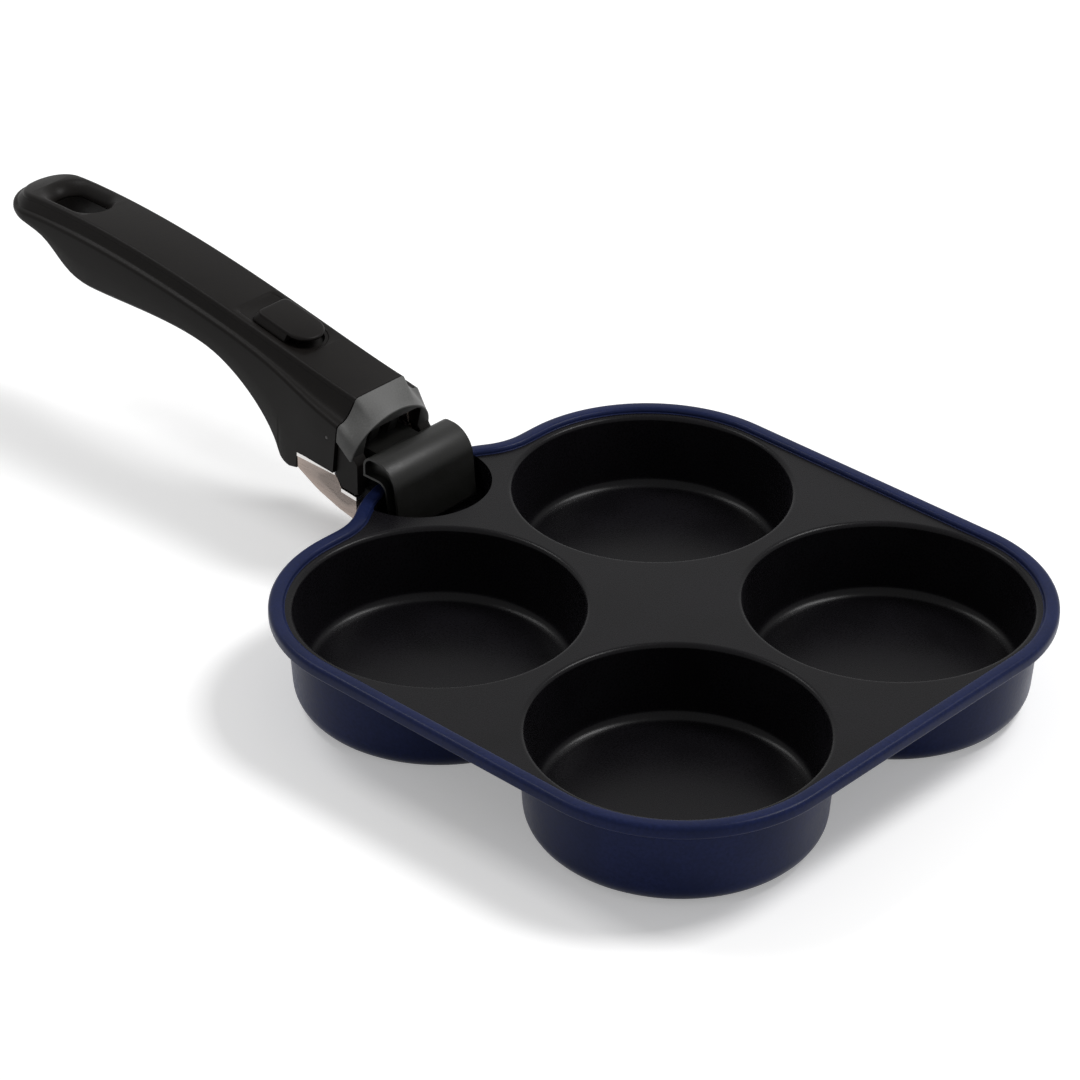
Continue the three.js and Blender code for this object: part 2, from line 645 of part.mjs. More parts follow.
function topCover() {
  const plan = coverPlan(GRIP_TOP_HALF - COVER_MARGIN, 0);
  const skin = gripOutside().intersect(prismZ(plan, -BEYOND, BEYOND));
  const panel = skin.subtract(prismY(underCrown(-COVER_THICKNESS), -BEYOND, BEYOND));
  const tail = stroke + SLIDER_ROOM;
  const halfNeck = SLIDER_NECK_LENGTH / 2;
  const slotHalf = SLIDER_NECK_HALF_WIDTH + RUNNING;
  const solids = [panel];
  const cutters = [
    prismZ(hangHole(0), -BEYOND, BEYOND),
    prismZ(hangHole(HANG_RECESS_MARGIN), GRIP_CREST_HEIGHT - HANG_RECESS_DEPTH, BEYOND),
    onSlide(prismZ(thumbPlan(RUNNING, tail), -SLIDER_SUNK - SEAT, BEYOND)),
    onSlide(block(-halfNeck - stroke - RUNNING, halfNeck + RUNNING, -slotHalf, slotHalf, -BEYOND, 0)),
    onSlide(rodX(0, eye.y, springRoom, channelRear, springFront)),
  ];
  for (const { x, y, underside } of coverScrewSeats()) {
    solids.push(rodZ(x, y, coverBossRadius, underside - COVER_BOSS_LENGTH, underside + COVER_THICKNESS / 2));
    cutters.push(rodZ(x, y, SCREW_RADIUS + SEAT, -BEYOND, underside + COVER_THICKNESS / 2));
  }
  return cut(joined(solids), cutters);
}

// The steel base plate's underside runs from the heel down to the bend; the jaw plate rises from there.
const plateRear = new THREE.Vector2(gripHeel + SEAT, -CHASSIS_REAR_DROP);
const plateBend = new THREE.Vector2(-CHASSIS_BEND_BACK, -CHASSIS_DROP);
const jawFoot = new THREE.Vector2(-CHASSIS_JAW_BACK, -CHASSIS_JAW_DROP);
const plateTilt = Math.atan2(plateRear.y - plateBend.y, plateBend.x - plateRear.x);
const cavityBack = CHASSIS_CHEEK_BACK + CAVITY_MARGIN;
const cheekInner = CHASSIS_HALF_WIDTH - CHASSIS_SHEET;
const sheetSeat = CHASSIS_HALF_WIDTH + SEAT;

// The point that lies `distance` inside both lines of a corner.
function insideCorner(before, corner, after, distance) {
  const back = before.clone().sub(corner).normalize();
  const ahead = after.clone().sub(corner).normalize();
  const half = Math.acos(back.dot(ahead)) / 2;
  return back.add(ahead).setLength(distance / Math.sin(half)).add(corner);
}

function plateUnderside(x) {
  return plateRear.y - (x - plateRear.x) * Math.tan(plateTilt);
}

function onPlate(solid) {
  const x = -CHASSIS_SCREW_BACK;
  return solid.rotate([0, THREE.MathUtils.radToDeg(plateTilt), 0]).translate([x, 0, plateUnderside(x)]);
}

function chassis() {
  const jawTop = new THREE.Vector2(jawFoot.x, GRIP_SILL_HEIGHT);
  const cheekTop = CHASSIS_CHEEK_HEIGHT;
  const outline = new THREE.Shape([
    plateRear, plateBend, jawFoot, jawTop,
    new THREE.Vector2(jawFoot.x - GRIP_FRONT_LEAN, cheekTop),
    new THREE.Vector2(-CHASSIS_CHEEK_BACK, cheekTop),
    new THREE.Vector2(-cavityBack, GRIP_SILL_HEIGHT + CHASSIS_SHEET / 2),
    new THREE.Vector2(plateRear.x, GRIP_SILL_HEIGHT + CHASSIS_SHEET / 2),
  ]);
  const bend = insideCorner(plateRear, plateBend, jawFoot, CHASSIS_SHEET);
  const foot = insideCorner(plateBend, jawFoot, jawTop, CHASSIS_SHEET);
  const room = new THREE.Shape([
    bend.clone().add(plateRear).sub(plateBend).add(plateRear).sub(plateBend),
    bend, foot,
    new THREE.Vector2(foot.x, BEYOND),
    new THREE.Vector2(plateRear.x - BEYOND, BEYOND),
  ]);
  const channel = prismY(outline, -CHASSIS_HALF_WIDTH, CHASSIS_HALF_WIDTH);
  return cut(channel, [
    prismY(room, -cheekInner, cheekInner),
    block(-BEYOND, BEYOND, -cheekInner, cheekInner, jawTop.y, BEYOND),
    rodY(pivot.x, pivot.y, PIVOT_RADIUS + SEAT, -BEYOND, BEYOND),
    rodY(-RIVET_BACK, RIVET_HEIGHT, RIVET_RADIUS + SEAT, -BEYOND, BEYOND),
    onPlate(rodZ(0, 0, SCREW_RADIUS + SEAT, -CHASSIS_SHEET, 2 * CHASSIS_SHEET)),
  ]);
}

// Pan outlines, moved into the handle's frame, that the two jaw pads are shaped to.
function panPrism(inset) {
  return prismZ(panOutline(inset), -BEYOND, BEYOND).translate([-lobeFace, 0, 0]);
}

function outerJawPad() {
  const half = JAW_PAD_HALF_WIDTH;
  const low = -JAW_PAD_TOP_DROP - JAW_PAD_HEIGHT;
  const rear = jawFoot.x + SEAT;
  return block(rear, LOBE_REACH, -half, half, low, -JAW_PAD_TOP_DROP).subtract(panPrism(-SEAT));
}

const tabTop = RIVET_HEIGHT + COLLAR_TAB_HEIGHT / 2;
const tabBottom = RIVET_HEIGHT - COLLAR_TAB_HEIGHT / 2;
const tabOuter = sheetSeat + COLLAR_TAB_THICKNESS;
const tabRear = -RIVET_BACK - COLLAR_TAB_MARGIN;
const frontLean = GRIP_FRONT_LEAN / (GRIP_START_HEIGHT - GRIP_SILL_HEIGHT);

function gripFrontAt(z) {
  return -GRIP_START - frontLean * (GRIP_START_HEIGHT - z);
}

// The collar's nose line, shifted back and down for the hollow behind it.
function noseOutline(back, down, low) {
  return new THREE.Shape([
    new THREE.Vector2(gripFrontAt(GRIP_START_HEIGHT) + SEAT - back, GRIP_START_HEIGHT - down),
    new THREE.Vector2(-COLLAR_NOSE_BACK - back, COLLAR_NOSE_HEIGHT - down),
    new THREE.Vector2(-COLLAR_CHIN_BACK - back, COLLAR_CHIN_HEIGHT - low),
    new THREE.Vector2(gripFrontAt(COLLAR_SKIRT_HEIGHT) + SEAT - back, COLLAR_SKIRT_HEIGHT - low),
  ]);
}

function noseRoof(back, down) {
  const roof = noseOutline(back, down, BEYOND);
  return shoulders(roof, GRIP_TOP_HALF, GRIP_TOP_SLOPE);
}

function collar() {
  const rear = gripFrontAt(COLLAR_SKIRT_HEIGHT);
  const plan = new THREE.Shape([
    new THREE.Vector2(rear, -GRIP_FRONT_HALF_WIDTH),
    new THREE.Vector2(-COLLAR_NOSE_BACK, -COLLAR_NOSE_HALF_WIDTH),
    new THREE.Vector2(-COLLAR_NOSE_BACK, COLLAR_NOSE_HALF_WIDTH),
    new THREE.Vector2(rear, GRIP_FRONT_HALF_WIDTH),
  ]);
  const hood = prismY(noseOutline(0, 0, 0), -BEYOND, BEYOND)
    .intersect(prismZ(plan, -BEYOND, BEYOND))
    .intersect(noseRoof(0, 0));
  const hollow = prismY(noseOutline(COLLAR_LIP, COLLAR_WALL, BEYOND), -sheetSeat, sheetSeat)
    .intersect(noseRoof(COLLAR_LIP, COLLAR_WALL));
  const mouth = block(
    rear, BEYOND, -COLLAR_MOUTH_HALF, COLLAR_MOUTH_HALF, -BEYOND, COLLAR_MOUTH_HEIGHT);
  const tabFront = gripFrontAt(RIVET_HEIGHT) + COLLAR_TAB_MARGIN / 2;
  const tabs = [-tabOuter, sheetSeat].map((y) => {
    return block(tabRear, tabFront, y, y + COLLAR_TAB_THICKNESS, tabBottom, tabTop);
  });
  const rivetHole = rodY(-RIVET_BACK, RIVET_HEIGHT, RIVET_RADIUS + SEAT, -BEYOND, BEYOND);
  return cut(joined([cut(hood, [hollow, mouth]), ...tabs]), [rivetHole]);
}

// The grip's body: rabbet for the cover, channel for the sliding parts, nose cavity for chassis and hook.
function gripBody() {
  const rabbet = prismZ(coverPlan(GRIP_TOP_HALF - COVER_MARGIN + SEAT, BEYOND), -BEYOND, BEYOND)
    .subtract(prismY(underCrown(-COVER_THICKNESS - SEAT), -BEYOND, BEYOND));
  const channelFloor = eye.y - springRoom;
  const cheekSlot = GRIP_SILL_HEIGHT + CHASSIS_SHEET / 2 + SEAT;
  const cavityTop = CHASSIS_CHEEK_HEIGHT + COVER_THICKNESS;
  const lane = GRIP_TOP_HALF - COVER_MARGIN - SEAT;
  const bossBottom = CHASSIS_SHEET / Math.cos(plateTilt) + SEAT;
  const bossRear = gripHeel - CHASSIS_BOSS_ROOT;
  const bossTop = GRIP_SILL_HEIGHT + CHASSIS_BOSS_ROOT;
  const boss = new THREE.Shape([
    new THREE.Vector2(bossRear, bossTop),
    new THREE.Vector2(bossRear, plateUnderside(gripHeel) + bossBottom),
    new THREE.Vector2(plateRear.x, plateUnderside(plateRear.x) + bossBottom),
    new THREE.Vector2(-cavityBack, plateUnderside(-cavityBack) + bossBottom),
    new THREE.Vector2(-cavityBack, bossTop),
  ]);
  const cutters = [
    rabbet,
    prismZ(hangHole(0), -BEYOND, BEYOND),
    onSlide(block(channelRear, BEYOND, -CHANNEL_HALF_WIDTH, CHANNEL_HALF_WIDTH, channelFloor, 0)),
    onSlide(rodX(0, eye.y, BAR_TAIL_RADIUS + RUNNING, tailEnd - stroke - SEAT, channelRear + SEAT)),
    block(-cavityBack, 0, -sheetSeat, sheetSeat, -BEYOND, cavityTop),
    block(-cavityBack, 0, -lane, lane, 0, BEYOND),
    block(tabRear - SEAT, 0, -tabOuter - SEAT, tabOuter + SEAT, tabBottom - SEAT, tabTop + SEAT),
    rodY(-RIVET_BACK, RIVET_HEIGHT, RIVET_RADIUS + SEAT, -BEYOND, BEYOND),
    onPlate(rodZ(0, 0, SCREW_RADIUS + SEAT, 0, CHASSIS_SCREW_LENGTH + SEAT)),
  ];
  for (const y of [-sheetSeat, cheekInner - SEAT]) {
    cutters.push(block(gripHeel, 0, y, y + CHASSIS_SHEET + 2 * SEAT, -BEYOND, cheekSlot));
  }
  for (const { x, y, underside, seat } of coverScrewSeats()) {
    cutters.push(rodZ(x, y, SCREW_HEAD_RADIUS + RUNNING, -BEYOND, seat));
    cutters.push(rodZ(x, y, SCREW_RADIUS + SEAT, -BEYOND, BEYOND));
    cutters.push(rodZ(x, y, coverBossRadius + SEAT, underside - COVER_BOSS_LENGTH - SEAT, BEYOND));
  }
  return cut(gripOutside().add(prismY(boss, -CHASSIS_BOSS_HALF, CHASSIS_BOSS_HALF)), cutters);
}

const hookTop = HOOK_ARCH_HEIGHT + HOOK_THICKNESS;

function jawPrism(halfWidth) {
  const legTip = HOOK_REACH + HOOK_LEG_RAKE;
  return prismY(roundedPath([
    [HOOK_REAR, HOOK_ARCH_HEIGHT],
    [HOOK_REAR, hookTop, HOOK_REAR_ROUND],
    [HOOK_REACH, hookTop, HOOK_FRONT_ROUND],
    [legTip, -HOOK_TIP_DROP, HOOK_TIP_ROUND],
    [legTip - HOOK_LEG, -HOOK_TIP_DROP, HOOK_TIP_ROUND],
    [HOOK_REACH - HOOK_LEG, HOOK_ARCH_HEIGHT, HOOK_ARCH_ROUND],
    [HOOK_REAR + HOOK_TIP_ROUND, HOOK_ARCH_HEIGHT],
  ]), -halfWidth, halfWidth);
}

function hookJaw() {
  const arm = new THREE.Shape([
    new THREE.Vector2(pivot.x, pivot.y - KNUCKLE_RADIUS),
    new THREE.Vector2(jawFoot.x - CHASSIS_SHEET, GRIP_SILL_HEIGHT + CHASSIS_SHEET),
    new THREE.Vector2(HOOK_REAR - CHASSIS_SHEET, HOOK_ARCH_HEIGHT),
    new THREE.Vector2(HOOK_REAR + HOOK_LEG, HOOK_ARCH_HEIGHT),
    new THREE.Vector2(HOOK_REAR + HOOK_LEG, hookTop - HOOK_REAR_ROUND / 2),
    new THREE.Vector2(HOOK_REAR, hookTop - HOOK_REAR_ROUND),
    new THREE.Vector2(pivot.x, pivot.y + KNUCKLE_RADIUS),
  ]);
  const solids = [
    jawPrism(HOOK_HALF_WIDTH),
    prismY(arm, -HOOK_ARM_HALF, HOOK_ARM_HALF),
    rodY(pivot.x, pivot.y, KNUCKLE_RADIUS, -HOOK_ARM_HALF, HOOK_ARM_HALF),
  ];
  const leanDegrees = THREE.MathUtils.radToDeg(crankLean);
  for (const y of [-CRANK_EAR_INNER - CRANK_EAR_THICKNESS, CRANK_EAR_INNER]) {
    const stem = block(-CRANK_EAR_RADIUS, CRANK_EAR_RADIUS, y, y + CRANK_EAR_THICKNESS, 0, CRANK_LENGTH);
    solids.push(stem.rotate([0, leanDegrees, 0]).translate([pivot.x, 0, pivot.y]));
    solids.push(rodY(crankPin.x, crankPin.y, CRANK_EAR_RADIUS, y, y + CRANK_EAR_THICKNESS));
  }
  return cut(joined(solids), [
    rodY(pivot.x, pivot.y, PIVOT_RADIUS + RUNNING, -BEYOND, BEYOND),
    rodY(crankPin.x, crankPin.y, CRANK_PIN_RADIUS + SEAT, -BEYOND, BEYOND),
  ]);
}

function hookPad() {
  const half = HOOK_PAD_HALF_WIDTH;
  const body = block(0, HOOK_REACH - HOOK_LEG / 2, -half, half, -HOOK_PAD_DROP, 0);
  return body.intersect(panPrism(RIM_WIDTH + SEAT)).subtract(jawPrism(BEYOND).translate([-SEAT, 0, 0]));
}

function pivotBush(yMin, yMax) {
  const ring = rodY(pivot.x, pivot.y, KNUCKLE_RADIUS - SEAT, yMin, yMax);
  return ring.subtract(rodY(pivot.x, pivot.y, PIVOT_RADIUS + SEAT, -BEYOND, BEYOND));
}

// Finishes
const CAST_NAVY = { color: 0x23284e, roughness: 0.42, metalness: 0.1 };
const BLACK_NYLON = { color: 0x1d1d1e, roughness: 0.55, metalness: 0 };
const GREY_NYLON = { color: 0x6a6b6b, roughness: 0.45, metalness: 0 };
const COATED_STEEL = { color: 0x2a2a29, roughness: 0.38, metalness: 0.3 };
const STAINLESS = { color: 0xb4b1ac, roughness: 0.3, metalness: 1 };
const SILICONE = { color: 0x151516, roughness: 0.8, metalness: 0 };

function piece(name, solid, finish) {
  const mesh = new THREE.Mesh(geometryOf(solid), new THREE.MeshStandardMaterial(finish));
  mesh.name = name;
  return mesh;
}

// Assembly
const pan = new THREE.Group();
pan.add(piece('pan_body', panBody(), CAST_NAVY));

const handle = new THREE.Group();
handle.position.x = lobeFace;
handle.add(piece('grip_body', gripBody(), BLACK_NYLON));
handle.add(piece('top_cover', topCover(), BLACK_NYLON));
handle.add(piece('collar', collar(), GREY_NYLON));
handle.add(piece('chassis', chassis(), STAINLESS));
handle.add(piece('outer_jaw_pad', outerJawPad(), SILICONE));
handle.add(piece('hook_jaw', hookJaw(), COATED_STEEL));
handle.add(piece('hook_pad', hookPad(), SILICONE));
const crankPinEnd = CRANK_EAR_INNER + CRANK_EAR_THICKNESS;
const crankPinRod = rodY(crankPin.x, crankPin.y, CRANK_PIN_RADIUS, -crankPinEnd, crankPinEnd);
handle.add(piece('crank_pin', crankPinRod, STAINLESS));
const pivotEnd = CHASSIS_HALF_WIDTH;
handle.add(piece('hook_pivot_pin', rodY(pivot.x, pivot.y, PIVOT_RADIUS, -pivotEnd, pivotEnd), STAINLESS));
const bushInner = HOOK_ARM_HALF + RUNNING;
const bushOuter = cheekInner - SEAT;
handle.add(piece('pivot_bush_left', pivotBush(bushInner, bushOuter), SILICONE));
handle.add(piece('pivot_bush_right', pivotBush(-bushOuter, -bushInner), SILICONE));
const rivetEnd = GRIP_FRONT_HALF_WIDTH - RUNNING;
const rivetLeft = rodY(-RIVET_BACK, RIVET_HEIGHT, RIVET_RADIUS, cheekInner, rivetEnd);
const rivetRight = rodY(-RIVET_BACK, RIVET_HEIGHT, RIVET_RADIUS, -rivetEnd, -cheekInner);
handle.add(piece('cheek_rivet_left', rivetLeft, STAINLESS));
handle.add(piece('cheek_rivet_right', rivetRight, STAINLESS));
for (const { name, x, y, seat } of coverScrewSeats()) {
  const coverScrew = piece(`cover_screw_${name}`, screw(COVER_SCREW_LENGTH), STAINLESS);
  coverScrew.position.set(x, y, seat - SEAT);
  handle.add(coverScrew);
}
const chassisScrew = piece('chassis_screw', screw(CHASSIS_SCREW_LENGTH), STAINLESS);
chassisScrew.rotation.y = plateTilt;
const screwDrop = new THREE.Vector2(Math.sin(plateTilt), Math.cos(plateTilt)).multiplyScalar(SEAT);
const screwSeat = new THREE.Vector2(-CHASSIS_SCREW_BACK, plateUnderside(-CHASSIS_SCREW_BACK)).sub(screwDrop);
chassisScrew.position.set(screwSeat.x, 0, screwSeat.y);
handle.add(chassisScrew);

const slide = new THREE.Group();
slide.position.set(slideSeat.x, 0, slideSeat.y);
slide.rotation.y = slideTilt;
slide.add(piece('thumb_slider', thumbSlider(), BLACK_NYLON));
slide.add(piece('draw_bar', drawBar(), STAINLESS));
const neckHalf = SLIDER_NECK_HALF_WIDTH;
slide.add(piece('slider_pin', rodY(0, eye.y, SLIDER_PIN_RADIUS, -neckHalf, neckHalf), STAINLESS));
slide.add(piece('return_spring', returnSpring(), STAINLESS));
slide.add(piece('spring_washer', springWasher(), STAINLESS));
handle.add(slide);

const breakfastPan = new THREE.Group();
breakfastPan.add(pan, handle);
breakfastPan.position.set((GRIP_LENGTH - lobeFace - panHalf) / 2, 0, baseDrop);

export default breakfastPan;
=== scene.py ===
"""Breakfast pan with a clip-on clamp handle: the finished look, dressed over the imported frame."""

import logging
import math
from collections.abc import Iterable, Sequence
from dataclasses import dataclass
from enum import Enum
from typing import Any

import bmesh
import bpy
from mathutils import Matrix, Vector


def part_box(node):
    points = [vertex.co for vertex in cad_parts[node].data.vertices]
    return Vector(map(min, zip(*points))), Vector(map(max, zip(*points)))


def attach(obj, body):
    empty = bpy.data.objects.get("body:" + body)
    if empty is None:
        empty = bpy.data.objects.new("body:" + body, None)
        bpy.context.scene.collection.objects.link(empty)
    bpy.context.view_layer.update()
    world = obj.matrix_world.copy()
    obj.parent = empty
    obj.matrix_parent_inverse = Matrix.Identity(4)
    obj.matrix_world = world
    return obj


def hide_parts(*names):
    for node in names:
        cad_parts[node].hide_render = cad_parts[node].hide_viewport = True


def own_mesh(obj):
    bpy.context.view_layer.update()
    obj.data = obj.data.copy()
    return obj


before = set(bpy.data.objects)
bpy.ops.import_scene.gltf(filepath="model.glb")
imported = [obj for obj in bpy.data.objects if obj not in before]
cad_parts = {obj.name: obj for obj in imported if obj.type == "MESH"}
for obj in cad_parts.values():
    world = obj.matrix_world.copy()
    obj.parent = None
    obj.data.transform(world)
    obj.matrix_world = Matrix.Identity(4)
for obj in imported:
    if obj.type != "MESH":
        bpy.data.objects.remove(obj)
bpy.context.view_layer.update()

LOG = logging.getLogger("breakfast_pan")
MM = 0.001
MERGE = 1e-6
# Edges sharper than this, in degrees, are rounded over.
SHARP = 50.0
# Faces that turn less than this make one flat face.
FLAT = math.radians(0.5)
# How far tools that carve reach, in millimetres, to be clear of the piece beside it and above it.
BEYOND, ABOVE = 20.0, 60.0

Plan = list[tuple[float, float]]
Corner = tuple[float, float, float]
Rows = tuple[tuple[float, ...], ...]


class Body(Enum):
    """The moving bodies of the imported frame."""

    PAN = "pan"
    HANDLE = "handle"
    SLIDER = "slider"
    HOOK = "hook"


class Cut(Enum):
    """How a second solid changes a piece."""

    JOIN = "UNION"
    CARVE = "DIFFERENCE"


def place(x: float, z: float, tilt: float = 0.0) -> Matrix:
    """Gives the way from a piece's own millimetres to the row frame in metres.

    Args:
        x: The piece's origin along the row, in millimetres.
        z: The piece's origin above the floor, in millimetres.
        tilt: How far its own X axis dips, in radians.

    Returns:
        The matrix to transform the piece's vertices with.
    """
    return Matrix.Scale(MM, 4) @ Matrix.Translation((x, 0, z)) @ Matrix.Rotation(tilt, 4, "Y")


PAN_X, DECK_Z, HANDLE_X = 88.9, 29.5, -16.1
PAN_PLACE = place(PAN_X, DECK_Z)
HANDLE_PLACE = place(HANDLE_X, DECK_Z)
# Where the cheek pins cross the handle, and the axis of the draw bar and its spring below the slide.
PIN_X, PIN_Z = -14.5, 12.5
BAR_Z = -7.479


def share_of(value: float, start: float, end: float) -> float:
    """Gives how far a value has come from a start to an end, between 0 and 1."""
    return min(1.0, max(0.0, (value - start) / (end - start)))


def arc(x: float, y: float, radius: float, start: float, end: float, steps: int) -> Plan:
    """Gives evenly spaced points on an arc.

    Args:
        x: Centre of the arc.
        y: Centre of the arc.
        radius: Radius of the arc.
        start: First angle in radians.
        end: Last angle in radians.
        steps: Number of steps between the two.

    Returns:
        The points, both ends among them.
    """
    angles = [start + (end - start) * k / steps for k in range(steps + 1)]
    return [(x + radius * math.cos(a), y + radius * math.sin(a)) for a in angles]


def rounded(corners: Sequence[Corner], steps: int = 6) -> Plan:
    """Gives an open path whose inner corners are rounded.

    Args:
        corners: Points as x, y and corner radius.
        steps: Steps on each rounded corner.

    Returns:
        The points of the path.
    """
    path: Plan = []
    for i, (x, y, radius) in enumerate(corners):
        if radius == 0:
            path.append((x, y))
            continue
        here = Vector((x, y))
        back = (Vector(corners[i - 1][:2]) - here).normalized()
        ahead = (Vector(corners[i + 1][:2]) - here).normalized()
        half = back.angle(ahead) / 2
        middle = here + (back + ahead).normalized() * (radius / math.sin(half))
        spoke = here + back * (radius / math.tan(half)) - middle
        turn = math.copysign(math.pi - 2 * half, ahead.cross(back))
        for k in range(steps + 1):
            path.append(tuple(middle + Matrix.Rotation(turn * k / steps, 2) @ spoke))
    return path


def evenly(path: Plan, count: int) -> Plan:
    """Gives the points that split a path into even lengths.

    Args:
        path: The path to follow.
        count: How many points to set on it.

    Returns:
        The new points, both ends among them.
    """
    points = [Vector(p) for p in path]
    spans = [(b - a).length for a, b in zip(points, points[1:])]
    even: Plan = []
    at, passed = 0, 0.0
    for k in range(count):
        wanted = sum(spans) * k / (count - 1)
        while at < len(spans) - 1 and passed + spans[at] < wanted:
            passed += spans[at]
            at += 1
        share = min(1.0, (wanted - passed) / spans[at]) if spans[at] else 0.0
        even.append(tuple(points[at].lerp(points[at + 1], share)))
    return even


def sweep(
    bm: bmesh.types.BMesh, loops: Sequence[Sequence[Vector]], closed: bool = True, slots: Sequence[int] = ()
) -> tuple[list[bmesh.types.BMVert], list[bmesh.types.BMVert]]:
    """Extrudes a line of points through further positions of the same points.

    Args:
        bm: The mesh to build in.
        loops: Positions of the line, all with the same number of points.
        closed: Whether the line runs back to its start.
        slots: Material slot of each band between two positions.

    Returns:
        The vertices of the first and of the last position.
    """
    verts = [bm.verts.new(p) for p in loops[0]]
    first = verts
    ends = [*range(1, len(verts)), 0] if closed else [*range(1, len(verts))]
    edges = [bm.edges.new((verts[i], verts[j])) for i, j in enumerate(ends)]
    for band, loop in enumerate(loops[1:]):
        made = bmesh.ops.extrude_edge_only(bm, edges=edges)["geom"]
        fresh = {g for g in made if isinstance(g, bmesh.types.BMVert)}
        for face in (g for g in made if isinstance(g, bmesh.types.BMFace)):
            face.material_index = slots[band] if slots else 0
        verts = [next(o for o in (e.other_vert(v) for e in v.link_edges) if o in fresh) for v in verts]
        for vert, point in zip(verts, loop):
            vert.co = point
        edges = [bm.edges.get((verts[i], verts[j])) for i, j in enumerate(ends)]
    return first, verts


def turned(
    bm: bmesh.types.BMesh, line: Iterable[Vector], centre: Corner, axis: Corner, steps: int, slot: int = 0
) -> None:
    """Turns a line of points about an axis.

    Args:
        bm: The mesh to build in.
        line: The points of the line.
        centre: A point on the axis.
        axis: The axis.
        steps: Steps in the full turn.
        slot: Material slot of the faces.
    """
    known = set(bm.faces)
    verts = [bm.verts.new(p) for p in line]
    edges = [bm.edges.new(pair) for pair in zip(verts, verts[1:])]
    bmesh.ops.spin(bm, geom=verts + edges, cent=centre, axis=axis, angle=math.tau, steps=steps, use_merge=True)
    for face in set(bm.faces) - known:
        face.material_index = slot


def level(plan: Plan, z: float) -> list[Vector]:
    """Gives a plan's points at one height."""
    return [Vector((x, y, z)) for x, y in plan]


def open_edges(bm: bmesh.types.BMesh) -> list[bmesh.types.BMEdge]:
    """Gives the edges that have a face on one side only."""
    return [e for e in bm.edges if len(e.link_faces) == 1]


def sharp_edges(bm: bmesh.types.BMesh, angle: float) -> list[bmesh.types.BMEdge]:
    """Gives the edges where two faces meet at more than an angle in degrees."""
    least = math.radians(angle)
    return [e for e in bm.edges if len(e.link_faces) == 2 and e.calc_face_angle(0.0) > least]


def soften(bm: bmesh.types.BMesh, edges: Iterable[bmesh.types.BMEdge], width: float, segments: int = 3) -> None:
    """Rounds edges over.

    Args:
        bm: The mesh.
        edges: The edges to round.
        width: Width of the round, in the mesh's own unit.
        segments: Facets across the round.
    """
    bmesh.ops.bevel(
        bm, geom=list(edges), offset=width, offset_type="OFFSET", segments=segments, profile=0.5,
        affect="EDGES", material=-1, clamp_overlap=True,
    )


def smooth(piece: bpy.types.Object, angle: float = 32.0) -> None:
    """Shades a piece smooth, apart from edges sharper than an angle in degrees."""
    piece.data.polygons.foreach_set("use_smooth", [True] * len(piece.data.polygons))
    piece.data.set_sharp_from_angle(angle=math.radians(angle))


def make(
    bm: bmesh.types.BMesh, name: str, where: Matrix, finishes: Sequence[bpy.types.Material] = ()
) -> bpy.types.Object:
    """Turns a mesh under construction into a placed object and frees it.

    Args:
        bm: The mesh, in its own frame.
        name: Name of the object.
        where: The way from its own frame to the row frame.
        finishes: Its materials in slot order.

    Returns:
        The new object, at the origin, with its place in its mesh.
    """
    bmesh.ops.transform(bm, matrix=where, verts=bm.verts)
    bmesh.ops.remove_doubles(bm, verts=bm.verts, dist=MERGE)
    bmesh.ops.recalc_face_normals(bm, faces=bm.faces)
    mesh = bpy.data.meshes.new(name)
    bm.to_mesh(mesh)
    bm.free()
    for finish in finishes:
        mesh.materials.append(finish)
    piece = bpy.data.objects.new(name, mesh)
    bpy.context.scene.collection.objects.link(piece)
    smooth(piece)
    return piece


def change(piece: bpy.types.Object, tools: Iterable[bpy.types.Object], how: Cut = Cut.CARVE) -> None:
    """Joins solids to a piece or carves them out of it, and removes them.

    Args:
        piece: The piece to change.
        tools: The solids, in the row frame.
        how: Whether they are joined or carved.
    """
    tools = list(tools)
    for tool in tools:
        step = piece.modifiers.new(tool.name, "BOOLEAN")
        step.object, step.operation, step.solver = tool, how.value, "EXACT"
    graph = bpy.context.evaluated_depsgraph_get()
    worked = bpy.data.meshes.new_from_object(piece.evaluated_get(graph))
    piece.modifiers.clear()
    before, piece.data = piece.data, worked
    bpy.data.meshes.remove(before)
    worked.name = piece.name
    for tool in tools:
        bpy.data.meshes.remove(tool.data)
    smooth(piece)


def block(low: Corner, high: Corner, where: Matrix) -> bpy.types.Object:
    """Makes a plain block to carve with.

    Args:
        low: Its lowest corner in its own frame.
        high: Its highest corner in its own frame.
        where: The way to the row frame.

    Returns:
        The block.
    """
    bm = bmesh.new()
    lowest, highest = Vector(low), Vector(high)
    bmesh.ops.create_cube(bm, size=1.0)
    bmesh.ops.scale(bm, vec=highest - lowest, verts=bm.verts)
    bmesh.ops.translate(bm, vec=(lowest + highest) / 2, verts=bm.verts)
    return make(bm, "tool_block", where)


def rod(low: Corner, high: Corner, radius: float, where: Matrix) -> bpy.types.Object:
    """Makes a round rod to carve with.

    Args:
        low: Middle of its first end.
        high: Middle of its other end.
        radius: Its radius.
        where: The way to the row frame.

    Returns:
        The rod.
    """
    bm = bmesh.new()
    along = Vector(high) - Vector(low)
    turn = Vector((0, 0, 1)).rotation_difference(along).to_matrix().to_4x4()
    centre = Matrix.Translation((Vector(low) + Vector(high)) / 2)
    bmesh.ops.create_cone(
        bm, cap_ends=True, segments=40, radius1=radius, radius2=radius, depth=along.length, matrix=centre @ turn
    )
    return make(bm, "tool_rod", where)


